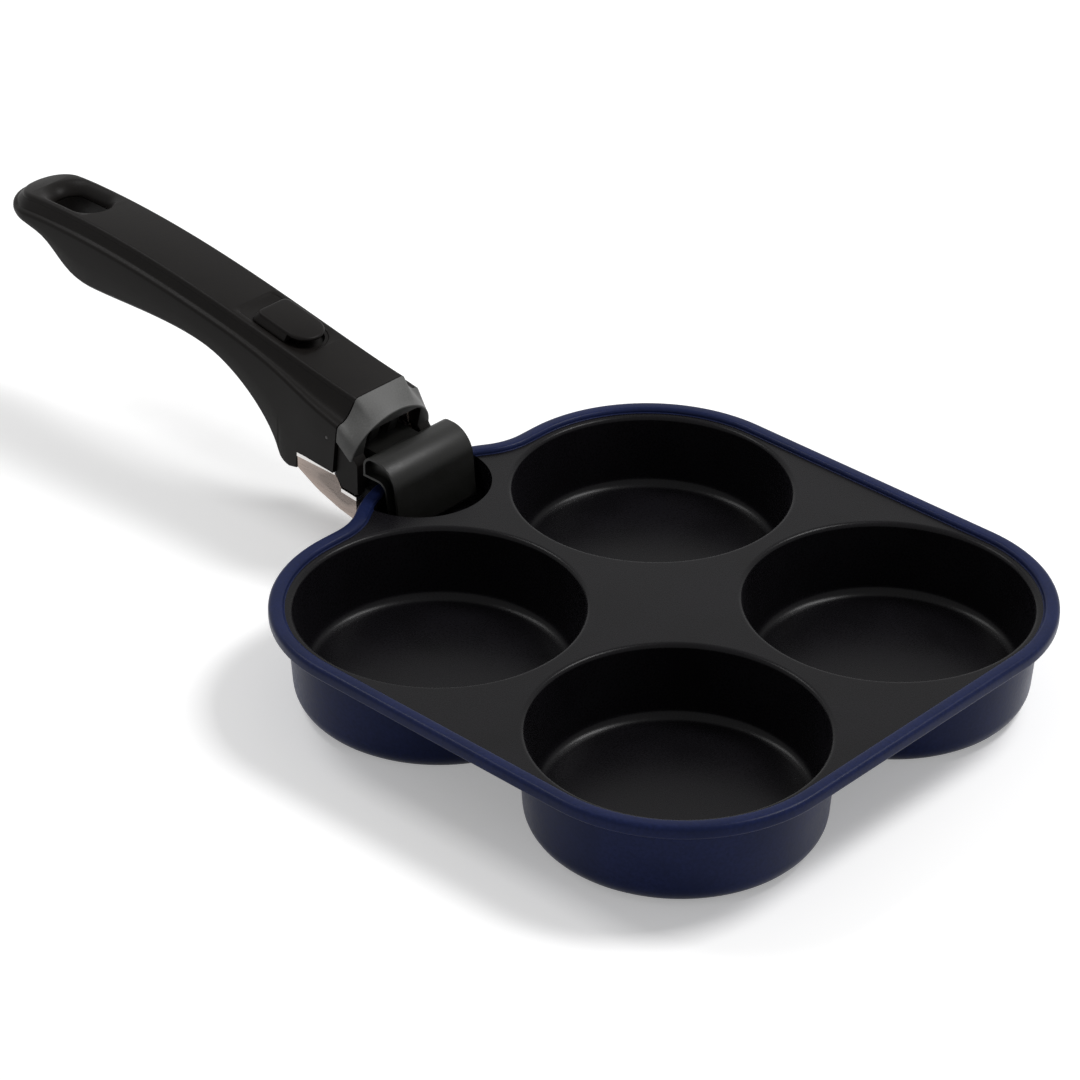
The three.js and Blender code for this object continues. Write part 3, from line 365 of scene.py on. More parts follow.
def prism(loops: Sequence[Sequence[Vector]], where: Matrix, slot: int = 0) -> bpy.types.Object:
    """Makes a closed solid through loops, to carve or join with.

    Args:
        loops: The loops from one end to the other.
        where: The way to the row frame.
        slot: Material slot of its faces.

    Returns:
        The solid.
    """
    bm = bmesh.new()
    sweep(bm, loops)
    bmesh.ops.holes_fill(bm, edges=bm.edges, sides=0)
    for face in bm.faces:
        face.material_index = slot
    return make(bm, "tool_prism", where)


def plate(outline: Plan, reach: tuple[float, float], slot: int = 0) -> bpy.types.Object:
    """Makes a solid with an outline seen from the handle's side, between two places across the handle."""
    return prism([[Vector((x, y, z)) for x, z in outline] for y in reach], HANDLE_PLACE, slot)


def traced(node: str) -> bmesh.types.BMesh:
    """Copies a CAD node's mesh, merged and with its flat faces whole again.

    Args:
        node: Name of the node.

    Returns:
        The copy, in the row frame.
    """
    bm = bmesh.new()
    bm.from_mesh(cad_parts[node].data)
    bmesh.ops.remove_doubles(bm, verts=bm.verts, dist=MERGE)
    bmesh.ops.dissolve_limit(bm, angle_limit=FLAT, verts=bm.verts, edges=bm.edges)
    return bm


def fit(piece: bpy.types.Object, body: Body, slot: str, *nodes: str) -> None:
    """Sets a finished piece on its body, hides the CAD nodes that it replaces and logs it.

    Args:
        piece: The finished piece.
        body: The body that carries it.
        slot: Not used.
        nodes: The CAD nodes that it replaces.
    """
    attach(piece, body.value)
    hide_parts(*nodes)
    LOG.info("%s: %d faces on the %s", piece.name, len(piece.data.polygons), body.value)


def linear(colour: str) -> tuple[float, float, float, float]:
    """Turns an sRGB hex colour to linear light.

    Args:
        colour: The colour as #rrggbb.

    Returns:
        Red, green, blue and a full alpha.
    """
    parts = [int(colour[i:i + 2], 16) / 255 for i in (1, 3, 5)]
    red, green, blue = (c / 12.92 if c <= 0.04045 else ((c + 0.055) / 1.055) ** 2.4 for c in parts)
    return red, green, blue, 1.0


def add_node(
    tree: bpy.types.NodeTree, kind: str, inputs: dict[str | int, Any] | None = None, **settings: Any
) -> bpy.types.Node:
    """Adds a node with its settings and links.

    Args:
        tree: The tree to add it to.
        kind: The node's type name.
        inputs: A socket to link, or a value to set, for each input.
        settings: The node's own properties.

    Returns:
        The new node.
    """
    node = tree.nodes.new(kind)
    for name, value in settings.items():
        setattr(node, name, value)
    for name, value in (inputs or {}).items():
        if isinstance(value, bpy.types.NodeSocket):
            tree.links.new(value, node.inputs[name])
        else:
            node.inputs[name].default_value = value
    return node


def blank_material(name: str) -> tuple[bpy.types.Material, bpy.types.NodeTree]:
    """Makes a material with an empty node tree.

    Args:
        name: Name of the material.

    Returns:
        The material and its tree.
    """
    material = bpy.data.materials.new(name)
    material.use_nodes = True
    material.node_tree.nodes.clear()
    return material, material.node_tree


# The values between which nearly all of a pattern lies: two noises multiplied, and one noise alone.
MOTTLE, LINES = (0.12, 0.40), (0.3, 0.7)


@dataclass(frozen=True)
class Finish:
    """What all finishes share: two tones, a gloss that wanders about a middle, and a fine relief."""

    name: str
    colour: str
    shade: str
    roughness: float
    spread: float

    def surface(
        self, tree: bpy.types.NodeTree, tone: bpy.types.NodeSocket, pattern: bpy.types.NodeSocket,
        limits: tuple[float, float], height: bpy.types.NodeSocket, relief: float, shading: dict[str, float],
    ) -> None:
        """Adds the surface that the finish's patterns give.

        Args:
            tree: The tree to add it to.
            tone: Share of the main colour.
            pattern: What the gloss follows.
            limits: The pattern's lowest and highest value.
            height: What the relief follows.
            relief: Height of the relief, in millimetres.
            shading: Further values for the shader.
        """
        colour = add_node(
            tree, "ShaderNodeMix", {0: tone, 6: linear(self.shade), 7: linear(self.colour)}, data_type="RGBA"
        )
        gloss = add_node(tree, "ShaderNodeMapRange", {
            "Value": pattern, "From Min": limits[0], "From Max": limits[1],
            "To Min": self.roughness - self.spread, "To Max": self.roughness + self.spread,
        })
        bump = add_node(tree, "ShaderNodeBump", {"Height": height, "Distance": relief * MM, "Strength": 1.0})
        shader = add_node(tree, "ShaderNodeBsdfPrincipled", {
            "Base Color": colour.outputs[2], "Roughness": gloss.outputs["Result"],
            "Normal": bump.outputs["Normal"], **shading,
        })
        add_node(tree, "ShaderNodeOutputMaterial", {"Surface": shader.outputs["BSDF"]})


@dataclass(frozen=True)
class Coating(Finish):
    """A dense finish over its whole surface: enamel, non-stick, powder, moulded plastic or rubber."""

    ior: float
    specular: float
    grain: float
    relief: float
    clouding: float

    def material(self) -> bpy.types.Material:
        """Builds the node material.

        Returns:
            The material, with clouded colour, uneven gloss and a fine relief.
        """
        made, tree = blank_material(self.name)
        where = add_node(tree, "ShaderNodeTexCoord").outputs["Object"]
        cloud, grain = (
            add_node(
                tree, "ShaderNodeTexNoise", {"Vector": where, "Scale": 1 / (size * MM), "Detail": detail}
            ).outputs["Fac"]
            for size, detail in ((self.clouding, 3.0), (self.grain, 1.0))
        )
        mottle = add_node(tree, "ShaderNodeMath", {0: cloud, 1: grain}, operation="MULTIPLY").outputs["Value"]
        tone = add_node(
            tree, "ShaderNodeMapRange", {"Value": mottle, "From Min": MOTTLE[0], "From Max": MOTTLE[1]}
        )
        shading = {"IOR": self.ior, "Specular IOR Level": self.specular}
        self.surface(tree, tone.outputs["Result"], mottle, MOTTLE, grain, self.relief, shading)
        return made


@dataclass(frozen=True)
class DrawnSteel(Finish):
    """Bare stainless steel with the fine lines of its rolling or drawing."""

    line: float
    line_length: float
    relief: float

    def material(self) -> bpy.types.Material:
        """Builds the node material.

        Returns:
            The material, with lines along the part's X axis.
        """
        made, tree = blank_material(self.name)
        where = add_node(tree, "ShaderNodeTexCoord").outputs["Object"]
        long, across = 1 / (self.line_length * MM), 1 / (self.line * MM)
        along = add_node(tree, "ShaderNodeMapping", {"Vector": where, "Scale": (long, across, across)})
        lines = add_node(
            tree, "ShaderNodeTexNoise", {"Vector": along.outputs["Vector"], "Scale": 1.0, "Detail": 2.0}
        ).outputs["Fac"]
        self.surface(tree, lines, lines, LINES, lines, self.relief, {"Metallic": 1.0})
        return made


# Sprayed and fired on the casting: an even satin navy with a faint orange peel, paler where it faces the light.
# The peel is really finer than 1 mm, and is drawn at that so that it shows.
ENAMEL = Coating("navy_spray_enamel", "#1a2246", "#141c3b", 0.33, 0.05, 1.5, 0.07, 1.0, 0.02, 14.0)
# Sprayed fluoropolymer: dull near-black with a fine dry tooth, and less mirror than paint has.
# The tooth is really about 0.1 mm, and is drawn at 0.6 mm so that it shows.
NON_STICK = Coating("black_non_stick_coating", "#111013", "#0c0b0d", 0.28, 0.04, 1.36, 0.145, 0.6, 0.012, 20.0)
# Moulded in a spark-eroded tool: dark charcoal with a dry, even grain.
# The grain is really about 0.15 mm, and is drawn at 0.5 mm so that it shows.
NYLON = Coating("moulded_black_nylon", "#161413", "#110f0e", 0.42, 0.05, 1.53, 0.07, 0.5, 0.015, 11.0)
# The same moulded plastic with grey in it, left matt, its grain drawn at 0.5 mm too.
GREY_NYLON = Coating("moulded_grey_nylon", "#676766", "#5b5b5a", 0.50, 0.06, 1.53, 0.15, 0.5, 0.02, 9.0)
# A darker grey of the same plastic on the lip round the collar's mouth: painted shade where the lip faces away from the
# light, on a collar that is itself one grey.
PAINTED_SHADE_NYLON = Coating("painted_shade_grey_nylon", "#3c3c3b", "#323231", 0.50, 0.06, 1.53, 0.12, 0.5, 0.02, 9.0)
# Baked powder on the jaw: satin black with a smooth roll of highlight on its rounds. Its peel is drawn at 0.7 mm
# so that it shows.
POWDER_COAT = Coating("satin_black_powder_coat", "#161615", "#11110f", 0.42, 0.04, 1.5, 0.22, 0.7, 0.01, 8.0)
# Moulded silicone rubber: dull and slightly dusty. Its bloom is drawn at 0.6 mm so that it shows.
SILICONE = Coating("moulded_black_silicone", "#151517", "#0f0f11", 0.68, 0.05, 1.41, 0.2, 0.6, 0.03, 6.0)
# Acetal bushes: waxy grey-black plastic. The marks of turning are drawn at 0.4 mm so that they show.
ACETAL = Coating("turned_grey_acetal", "#3c3c3d", "#303031", 0.42, 0.05, 1.48, 0.4, 0.4, 0.01, 3.0)
# Pins blackened with oxide: dark and dull, with a little of the steel's shine. Grain drawn at 0.4 mm to show.
OXIDE = Coating("black_oxide_steel", "#2a2726", "#201d1c", 0.38, 0.05, 1.5, 0.4, 0.4, 0.01, 3.0)
# Pressed from rolled sheet, with fine lines along the strip; its warm, pinkish grey is a painted reflection of warm
# surroundings, on steel that is itself neutral. Lines drawn at 0.25 mm so that they show.
STEEL_SHEET = DrawnSteel("rolled_stainless_steel", "#b3a59d", "#94867e", 0.30, 0.08, 0.25, 9.0, 0.006)
# A paler copy of the same steel on the flanges along the bracket's top: a painted highlight, standing in for the bright
# reflection along that edge. Its marks are drawn at 0.2 mm.
STEEL_PAINTED_HIGHLIGHT = DrawnSteel("stainless_steel_painted_highlight", "#e6e4e2", "#d6d4d2", 0.24, 0.05, 0.2, 4.0, 0.004)
# Cold-drawn wire and turned screws: a bright surface with fine drawing lines, drawn at 0.3 mm so that they show.
STEEL_WIRE = DrawnSteel("drawn_stainless_steel", "#c9c7c3", "#aaa8a4", 0.26, 0.06, 0.3, 3.0, 0.004)


@dataclass
class PanCasting:
    """The four-cup casting: rim, deck, cups and the handle lobe with its pocket."""

    enamel: bpy.types.Material
    coating: bpy.types.Material
    cup_offset: float = 45.0
    mouth: float = 43.0
    flat: float = 0.2
    inner_top: float = 41.5
    inner_floor: float = 39.5
    depth: float = 23.0
    lip_round: float = 1.5
    floor_round: float = 3.5
    outer_top: float = 43.4
    outer_base: float = 41.5
    base_drop: float = 29.5
    base_round: float = 7.0
    shoulder: float = 2.0
    shoulder_round: float = 1.2
    deck: float = 2.5
    rim_height: float = 1.5
    rim_width: float = 4.4
    corner: float = 48.4
    lobe_face: float = -105.0
    lobe_radius: float = 50.0
    blend_x: float = -113.4
    blend_y: float = 38.593
    blend_radius: float = 20.0
    lean: float = math.radians(33.459)
    pocket_inset: float = 7.5
    pocket_radius: float = 21.7
    pocket_depth: float = 12.0
    pocket_wall: float = 3.0
    pocket_round: float = 2.0
    housing_round: float = 1.8
    clear: float = 0.02
    overlap: float = 1.0
    turns: int = 128
    corner_steps: int = 28
    blend_steps: int = 10
    lobe_steps: int = 36

    def outline(self, inset: float) -> Plan:
        """Gives the outline drawn in by an inset, always with the same number of points.

        Args:
            inset: Distance inside the outer edge.

        Returns:
            The points, counter-clockwise from the front right corner.
        """
        c, r, quarter = self.cup_offset, self.corner - inset, math.pi / 2
        blend, lobe = self.blend_radius + inset, self.lobe_radius - inset
        middle = self.lobe_face + self.lobe_radius
        plan = arc(c, -c, r, -quarter, 0, self.corner_steps)
        plan += arc(c, c, r, 0, quarter, self.corner_steps)
        plan += arc(-c, c, r, quarter, math.pi, self.corner_steps)
        plan += arc(self.blend_x, self.blend_y, blend, 0, -self.lean, self.blend_steps)
        plan += arc(middle, 0, lobe, math.pi - self.lean, math.pi + self.lean, self.lobe_steps)[1:]
        plan += arc(self.blend_x, -self.blend_y, blend, self.lean, 0, self.blend_steps)[1:]
        plan += arc(-c, -c, r, math.pi, math.pi + quarter, self.corner_steps)
        return plan

    def rim(self, bm: bmesh.types.BMesh) -> None:
        """Sweeps the raised rim round the deck, from under its edge to the foot of its inner wall.

        Args:
            bm: The mesh to build in.
        """
        width, high, deck = self.rim_width, self.rim_height, -self.deck
        # Inset, height and radius of each corner of the rim's section.
        corners = [
            (1.6, deck, 0), (0, deck, 1.0), (0, high, 1.4), (width, high, 1.15), (width, 0, 0.3),
            (width + 0.32, 0, 0),
        ]
        sweep(bm, [level(self.outline(inset), z) for inset, z in rounded(corners, 5)])

    def cups(self, bm: bmesh.types.BMesh) -> None:
        """Turns the inside and the outside of each cup.

        Args:
            bm: The mesh to build in.
        """
        inside = rounded([
            (self.mouth + self.flat, 0, 0), (self.inner_top, 0, self.lip_round),
            (self.inner_floor, -self.depth, self.floor_round), (0, -self.depth, 0),
        ], 8)
        outside = rounded([
            (self.outer_top + self.shoulder, -self.deck, 0), (self.outer_top, -self.deck, self.shoulder_round),
            (self.outer_base, -self.base_drop, self.base_round), (0, -self.base_drop, 0),
        ], 8)
        for x in (-self.cup_offset, self.cup_offset):
            for y in (-self.cup_offset, self.cup_offset):
                centre = (x, y, 0)
                for profile, slot in ((inside, 1), (outside, 0)):
                    line = [Vector((r, 0, z)) + Vector(centre) for r, z in profile]
                    turned(bm, line, centre, (0, 0, 1), self.turns, slot)

    def deck_faces(self, bm: bmesh.types.BMesh) -> None:
        """Fills the deck between the rim and the cups, above and below.

        Args:
            bm: The mesh, with the rim and the cups in it.
        """
        for z, up, slot in ((0.0, 1, 1), (-self.deck, -1, 0)):
            ring = [e for e in open_edges(bm) if all(abs(v.co.z - z) < MERGE for v in e.verts)]
            made = bmesh.ops.triangle_fill(bm, use_beauty=True, edges=ring, normal=(0, 0, up))["geom"]
            for face in (g for g in made if isinstance(g, bmesh.types.BMFace)):
                face.material_index = slot

    def well(self, radius: float, inset: float, z: float) -> list[Vector]:
        """Gives the loop of the handle pocket at one height.

        Args:
            radius: Radius of the pocket's front.
            inset: How far its back stays inside the lobe's edge.
            z: Height of the loop.

        Returns:
            The loop's points.
        """
        lobe, middle = self.lobe_radius - inset, self.lobe_face + self.lobe_radius
        centre = self.lobe_face + self.pocket_inset
        apart = middle - centre
        back = math.acos((lobe**2 + apart**2 - radius**2) / (2 * lobe * apart))
        front = math.atan2(lobe * math.sin(back), apart - lobe * math.cos(back))
        plan = arc(middle, 0, lobe, math.pi - back, math.pi + back, 32)
        plan += arc(centre, 0, radius, -front, front, 48)[1:-1]
        return level(plan, z)

    def build(self) -> bpy.types.Object:
        """Builds the casting.

        Returns:
            The casting, enamelled outside and coated inside.
        """
        bm = bmesh.new()
        self.rim(bm)
        self.cups(bm)
        bmesh.ops.remove_doubles(bm, verts=bm.verts, dist=MERGE / MM)
        self.deck_faces(bm)
        casting = make(bm, "pan_casting", PAN_PLACE, (self.enamel, self.coating))
        outer, bottom = self.pocket_radius + self.pocket_wall, -self.pocket_depth - self.pocket_wall
        housing = [self.well(outer, self.clear, -self.overlap)]
        for d, h in self.edge_round(self.housing_round):
            housing.append(self.well(outer - d, d + self.clear, bottom + h))
        change(casting, [prism(housing, PAN_PLACE)], Cut.JOIN)
        floor, inset = -self.pocket_depth, self.rim_width + self.clear
        pocket = [self.well(self.pocket_radius, inset, self.overlap)]
        for d, h in self.edge_round(self.pocket_round):
            pocket.append(self.well(self.pocket_radius - d, inset + d, floor + h))
        change(casting, [prism(pocket, PAN_PLACE, 1)])
        fit(casting, Body.PAN, "coated_casting", "pan_body")
        return casting

    @staticmethod
    def edge_round(radius: float) -> Plan:
        """Gives how far a rounded bottom edge draws in and stands up, from the wall to the floor."""
        angles = [math.radians(15 * k) for k in range(7)]
        return [(radius * (1 - math.cos(a)), radius * (1 - math.sin(a))) for a in angles]


@dataclass(frozen=True)
class Run:
    """A line made of Bezier pieces that never turns back along x."""

    pieces: tuple[tuple[tuple[float, float], ...], ...]
    halvings: int = 40

    @staticmethod
    def point(piece: Sequence[tuple[float, float]], t: float) -> Vector:
        """Gives a point of one piece.

        Args:
            piece: The piece's control points.
            t: Share of its run.

        Returns:
            The point.
        """
        points = [Vector(p) for p in piece]
        while len(points) > 1:
            points = [a.lerp(b, t) for a, b in zip(points, points[1:])]
        return points[0]

    def at(self, x: float) -> float:
        """Gives the line's other value at an x.

        Args:
            x: Where to read the line.

        Returns:
            The height or half width there.
        """
        ends = [(p, *sorted((p[0][0], p[-1][0]))) for p in self.pieces]
        piece = next((p for p, low, high in ends if low <= x <= high), None)
        if piece is None:
            piece = min(self.pieces, key=lambda p: min(abs(p[0][0] - x), abs(p[-1][0] - x)))
        rising = piece[-1][0] > piece[0][0]
        low, high = 0.0, 1.0
        for _ in range(self.halvings):
            middle = (low + high) / 2
            if (self.point(piece, middle).x < x) == rising:
                low = middle
            else:
                high = middle
        return self.point(piece, low).y


CROWN = Run((
    ((-9, 25.4), (-41, 29.5), (-87, 42.1), (-141, 42.1)),
    ((-141, 42.1), (-153, 42.1), (-166.2, 41.1), (-166.2, 37)),
))
UNDERSIDE = Run((
    ((-166.2, 37), (-166.2, 33.5), (-156, 33.2), (-147, 31)),
    ((-147, 31), (-138, 28.8), (-136, 20.4), (-123, 20.4)),
    ((-123, 20.4), (-105, 20.4), (-78, 24), (-63, 17.6)),
    ((-63, 17.6), (-52, 13), (-41, 5), (-38, -2.6)),
    ((-38, -2.6), (-37, -5.6), (-33, -5.6)),
    ((-33, -5.6), (-29.6, -4.6)),
    ((-29.6, -4.6), (-28.6, 0.3)),
    ((-28.6, 0.3), (-9, 0.3)),
))
HALF_WIDTH = Run((
    ((-9, 17), (-32.5, 16), (-32.5, 13.6), (-65, 13.6)),
    ((-65, 13.6), (-152.6, 13.6)),
))
SLIDE_X = -45.0
SLIDE_TILT = math.radians(10.288)
SLIDE_PLACE = place(HANDLE_X + SLIDE_X, DECK_Z + CROWN.at(SLIDE_X), SLIDE_TILT)
STROKE = 4.961
# The round above the grip's side: how far each point is drawn in, its height, and the rise that it needs whole.
SHOULDER = ((0.0, 0.0), (0.06, 0.42), (0.24, 0.8), (0.53, 1.1), (0.92, 1.32), (1.4, 1.5))
SHOULDER_RISE = 3.6
BAND_STEPS = 9


def scooped(flat: float, rise: float, hollow: float) -> Plan:
    """Gives the scooped band between the grip's side and the edge of its top face.

    Args:
        flat: How far the top face's edge stands in from the side.
        rise: How far it stands above the side's upper end.
        hollow: How hollow the band is, where 1 is straight.

    Returns:
        How far each point is drawn in from the side, and its height above the side's upper end.
    """
    scale = min(1.0, rise / SHOULDER_RISE)
    shoulder = [(inset, z * scale) for inset, z in SHOULDER]
    inset, low = shoulder[-1]
    shares = [k / BAND_STEPS for k in range(1, BAND_STEPS + 1)]
    return shoulder + [(inset + (flat - inset) * s, low + (rise - low) * s**hollow) for s in shares]


@dataclass
class Grip:
    """The moulded grip: shell, top cover and thumb slider."""

    nylon: bpy.types.Material
    rear: float = -152.6
    rear_radius: float = 13.6
    rear_steps: int = 27
    top_half: float = 10.4
    band_rise: float = 1.85
    band_slope: float = 0.765
    edge: float = 1.4
    bottom_half: float = 11.4
    bottom_slope: float = 0.9
    foot_curve: Rows = ((1.0, 0.0), (0.45, 0.36), (0.12, 0.74))
    foot_step: float = 0.15
    least_side: float = 0.4
    heel: float = -28.6
    heel_rear: float = -62.0
    heel_base: float = 0.5
    front: float = -9.0
    front_lean: float = 3.0
    front_height: float = 25.4
    front_rise: float = 25.1
    cover_half: float = 10.34
    cover: float = 4.0
    seat: float = 0.3
    hollow: float = 1.5
    front_hollow: float = 2.1
    scoop_rear: float = -62.0
    tail_hollow: float = 0.7
    tail_front: float = -126.0
    hang_x: float = -140.0
    hang_half_length: float = 10.0
    hang_half_width: float = 5.25
    dish_shift: float = 0.4
    dish: Rows = (
        (0, -12), (0, -4.6), (0.15, -3.6), (0.5, -2.7), (1.0, -1.9), (1.55, -1.25), (2.1, -0.75), (2.6, -0.4),
        (3.1, -0.15), (3.5, 0.02), (3.9, 0.3), (4.2, 2.0),
    )
    cover_slices: int = 76
    slice_step: float = 2.0
    play: float = 0.2
    recess: Rows = ((1.3, 0, -0.4), (1.35, 0.2, -0.3), (1.6, 0.9, -0.08), (1.9, 1.5, 0.05), (2.4, 2.2, 3.0))
    pit: Rows = ((0.3, -1.8), (0.3, -0.5), (0.7, 0.05), (1.2, 3.0))
    slot_half: float = 3.6
    slot_play: float = 0.4
    channel_rear: float = -21.5
    channel_half: float = 12.3
    channel_top: float = 19.5
    throat_half: float = 9.8
    throat_top: float = 40.0
    flange_half: float = 10.2
    flange_top: float = 1.6
    bar_rear: float = -33.2
    bar_half: float = 4.6
    bar_drop: float = 10.93
    tail_bore_rear: float = -44.0
    tail_bore_front: float = -33.0
    bar_bore: float = 1.9
    coil_front: float = -10.0
    coil_bore: float = 3.45
    pin_reach: float = 15.6
    pin_bore: float = 1.45
    pin_tip_bore: float = 0.75
    screws: Rows = ((-117, 0), (-86, 6), (-86, -6))
    screw_seat: float = 13.0
    screw_bore: float = 2.9
    slider_half_length: float = 10.3
    slider_half_width: float = 6.3
    slider_corner: float = 2.0
    slider_top: float = 3.0
    slider_sunk: float = 0.15
    slider_lip: float = 1.7
    slider_step: float = 3.4
    neck_half: float = 5.0
    neck_half_width: float = 3.2
    neck_drop: float = 10.28
    fork_half: float = 1.8
    fork_top: float = -4.38

    def stations(self) -> list[float]:
        """Gives where the sections stand between the front and the round end, closer at the heel.

        Returns:
            The places along the grip, from front to rear.
        """
        close = [-13.5, -18, -23, -28.55, -29.6, -31.3, -33, -34.2, -35.3, -36.3, -37.2, -38, -38.8, -40, -42, -44]
        steps = [-46 - 2.6 * k for k in range(40)]
        return [self.front, *close, *steps, self.rear]

    def section(self, x: float, half: float) -> Plan:
        """Gives one side of the section, from the flat under it to the floor of the cover's seat.

        Args:
            x: Where along the grip.
            half: Half width of the plan there.

        Returns:
            How far each point is drawn in from the plan's edge, and its height.
        """
        top, low, flat = CROWN.at(x), UNDERSIDE.at(x), half - self.top_half
        share = share_of(x, self.heel_rear, self.heel)
        share *= share * (3 - 2 * share)
        base = (half - self.bottom_half) * (1 - share) + self.heel_base * share
        lift = self.bottom_slope * base
        foot, brow = low + lift, top - self.edge
        rise = min(self.band_rise + self.band_slope * flat, brow - foot - self.least_side)
        shoulder = brow - rise
        points = [(base * inset, low + lift * z) for inset, z in self.foot_curve]
        points += [(0, foot + self.foot_step), (0, (foot + shoulder) / 2)]
        points += [(inset, shoulder + z) for inset, z in scooped(flat, rise, self.hollow_at(x))]
        return points + [(flat, top - self.cover - self.seat)]

    def hollow_at(self, x: float) -> float:
        """Gives how hollow the scooped band is: most at the collar, and full instead at the tail.

        Args:
            x: Where along the grip.

        Returns:
            The power that shapes the band, where 1 is straight.
        """
        reach = share_of(x, self.scoop_rear, self.front)
        tail = share_of(x, self.tail_front, self.rear)
        ahead, behind = self.front_hollow - self.hollow, self.tail_hollow - self.hollow
        return self.hollow + ahead * reach * reach + behind * tail

    def lean_x(self, z: float) -> float:
        """Gives where the leaning front face stands at a height."""
        return self.front - self.front_lean * (self.front_height - z) / self.front_rise

    def shell_rows(self) -> list[list[Vector]]:
        """Gives the rows of points that run round the plan, one for each point of the section.

        Returns:
            The rows, from the underside up to the cover's seat.
        """
        columns: list[list[Vector]] = []
        for x in self.stations():
            half = HALF_WIDTH.at(x)
            column = [Vector((x, inset - half, z)) for inset, z in self.section(x, half)]
            if x == self.front:
                column = [Vector((self.lean_x(p.z), p.y, p.z)) for p in column]
            columns.append(column)
        for k in range(1, self.rear_steps):
            angle = -math.pi / 2 - math.pi * k / self.rear_steps
            spoke = Vector((math.cos(angle), math.sin(angle)))
            seen = self.rear + self.top_half * spoke.x
            column = []
            for inset, z in self.section(seen, self.rear_radius):
                at = spoke * (self.rear_radius - inset)
                column.append(Vector((self.rear + at.x, at.y, z)))
            columns.append(column)
        for column in reversed(columns[:len(self.stations())]):
            columns.append([Vector((p.x, -p.y, p.z)) for p in column])
        return [list(row) for row in zip(*columns)]

    def shell(self) -> bpy.types.Object:
        """Builds the grip's lower shell with its cavity, channel, hang hole and screw wells.

        Returns:
            The shell.
        """
        bm = bmesh.new()
        rows = self.shell_rows()
        first, last = sweep(bm, rows, closed=False)
        for row in (first, last):
            middle = len(row) // 2
            sides = [row[:middle], row[middle:]]
            edges = [bm.edges.get(pair) for side in sides for pair in zip(side, side[1:])]
            bmesh.ops.bridge_loops(bm, edges=edges)
        bmesh.ops.holes_fill(bm, edges=open_edges(bm), sides=0)
        shell = make(bm, "grip_shell", HANDLE_PLACE, (self.nylon,))
        tools = [
            block(
                (self.channel_rear, -self.channel_half, -BEYOND), (0, self.channel_half, self.channel_top), HANDLE_PLACE
            ),
            block((self.channel_rear, -self.throat_half, 0), (0, self.throat_half, self.throat_top), HANDLE_PLACE),
            block((self.heel, -BEYOND, -BEYOND), (0, -self.flange_half, self.flange_top), HANDLE_PLACE),
            block((self.heel, self.flange_half, -BEYOND), (0, BEYOND, self.flange_top), HANDLE_PLACE),
            block((self.bar_rear, -self.bar_half, -self.bar_drop), (ABOVE, self.bar_half, 0), SLIDE_PLACE),
            rod((self.tail_bore_rear, 0, BAR_Z), (self.tail_bore_front, 0, BAR_Z), self.bar_bore, SLIDE_PLACE),
            prism([self.hang_loop(0, z) for z in (0, ABOVE)], HANDLE_PLACE),
        ]
        for reach, bore in ((self.pin_reach, self.pin_bore), (BEYOND, self.pin_tip_bore)):
            tools.append(rod((PIN_X, -reach, PIN_Z), (PIN_X, reach, PIN_Z), bore, HANDLE_PLACE))
        for x, y in self.screws:
            seat = CROWN.at(x) - self.screw_seat
            tools.append(rod((x, y, -BEYOND), (x, y, seat), self.screw_bore, HANDLE_PLACE))
            tools.append(rod((x, y, seat - 1), (x, y, ABOVE), self.screw_bore, HANDLE_PLACE))
        change(shell, tools)
        fit(shell, Body.HANDLE, "grip_plastic", "grip_body")
        return shell

    def hang_loop(self, margin: float, z: float) -> list[Vector]:
        """Gives the outline of the hang hole at a height.

        Args:
            margin: How far it is grown all round.
            z: Height of the loop.

        Returns:
            The loop's points.
        """
        radius, reach = self.hang_half_width + margin, self.hang_half_length - self.hang_half_width
        plan = arc(self.hang_x + reach, 0, radius, -math.pi / 2, math.pi / 2, 20)
        plan += arc(self.hang_x - reach, 0, radius, math.pi / 2, 3 * math.pi / 2, 20)
        return level(plan, z)

    def dish_loop(self, margin: float, depth: float) -> list[Vector]:
        """Gives the hang hole's outline grown by a margin, most at the rear, at a depth that follows the crown."""
        moved = [p - Vector((self.dish_shift * margin, 0, 0)) for p in self.hang_loop(margin, depth)]
        return [Vector((p.x, p.y, CROWN.at(p.x) + depth)) for p in moved]

    def thumb_loop(self, grow: float, tail: float, z: float) -> list[Vector]:
        """Gives the slider's outline in the slide's frame: round in front, square behind.

        Args:
            grow: Margin all round.
            tail: Extra length behind.
            z: Height of the loop.

        Returns:
            The loop's points.
        """
        half = self.slider_half_width + grow
        nose = self.slider_half_length + grow - half
        plan = arc(nose, 0, half, -math.pi / 2, math.pi / 2, 24)
        return level(plan + self.thumb_rear(grow, tail), z)

    def foot_loop(self, grow: float, z: float) -> list[Vector]:
        """Gives the outline of the slider's foot in the slide's frame, square at the step.

        Args:
            grow: Margin at the sides and behind.
            z: Height of the loop.

        Returns:
            The loop's points.
        """
        half = self.slider_half_width + grow
        return level([(self.slider_step, -half), (self.slider_step, half), *self.thumb_rear(grow, 0)], z)

    def thumb_rear(self, grow: float, tail: float) -> Plan:
        """Gives the two rounded corners behind that the slider's outlines share.

        Args:
            grow: Margin all round.
            tail: Extra length behind.

        Returns:
            The points from one side to the other.
        """
        half, corner = self.slider_half_width + grow, self.slider_corner
        x = -self.slider_half_length - grow - tail + corner
        plan = arc(x, half - corner, corner, math.pi / 2, math.pi, 6)
        return plan + arc(x, corner - half, corner, math.pi, 3 * math.pi / 2, 6)

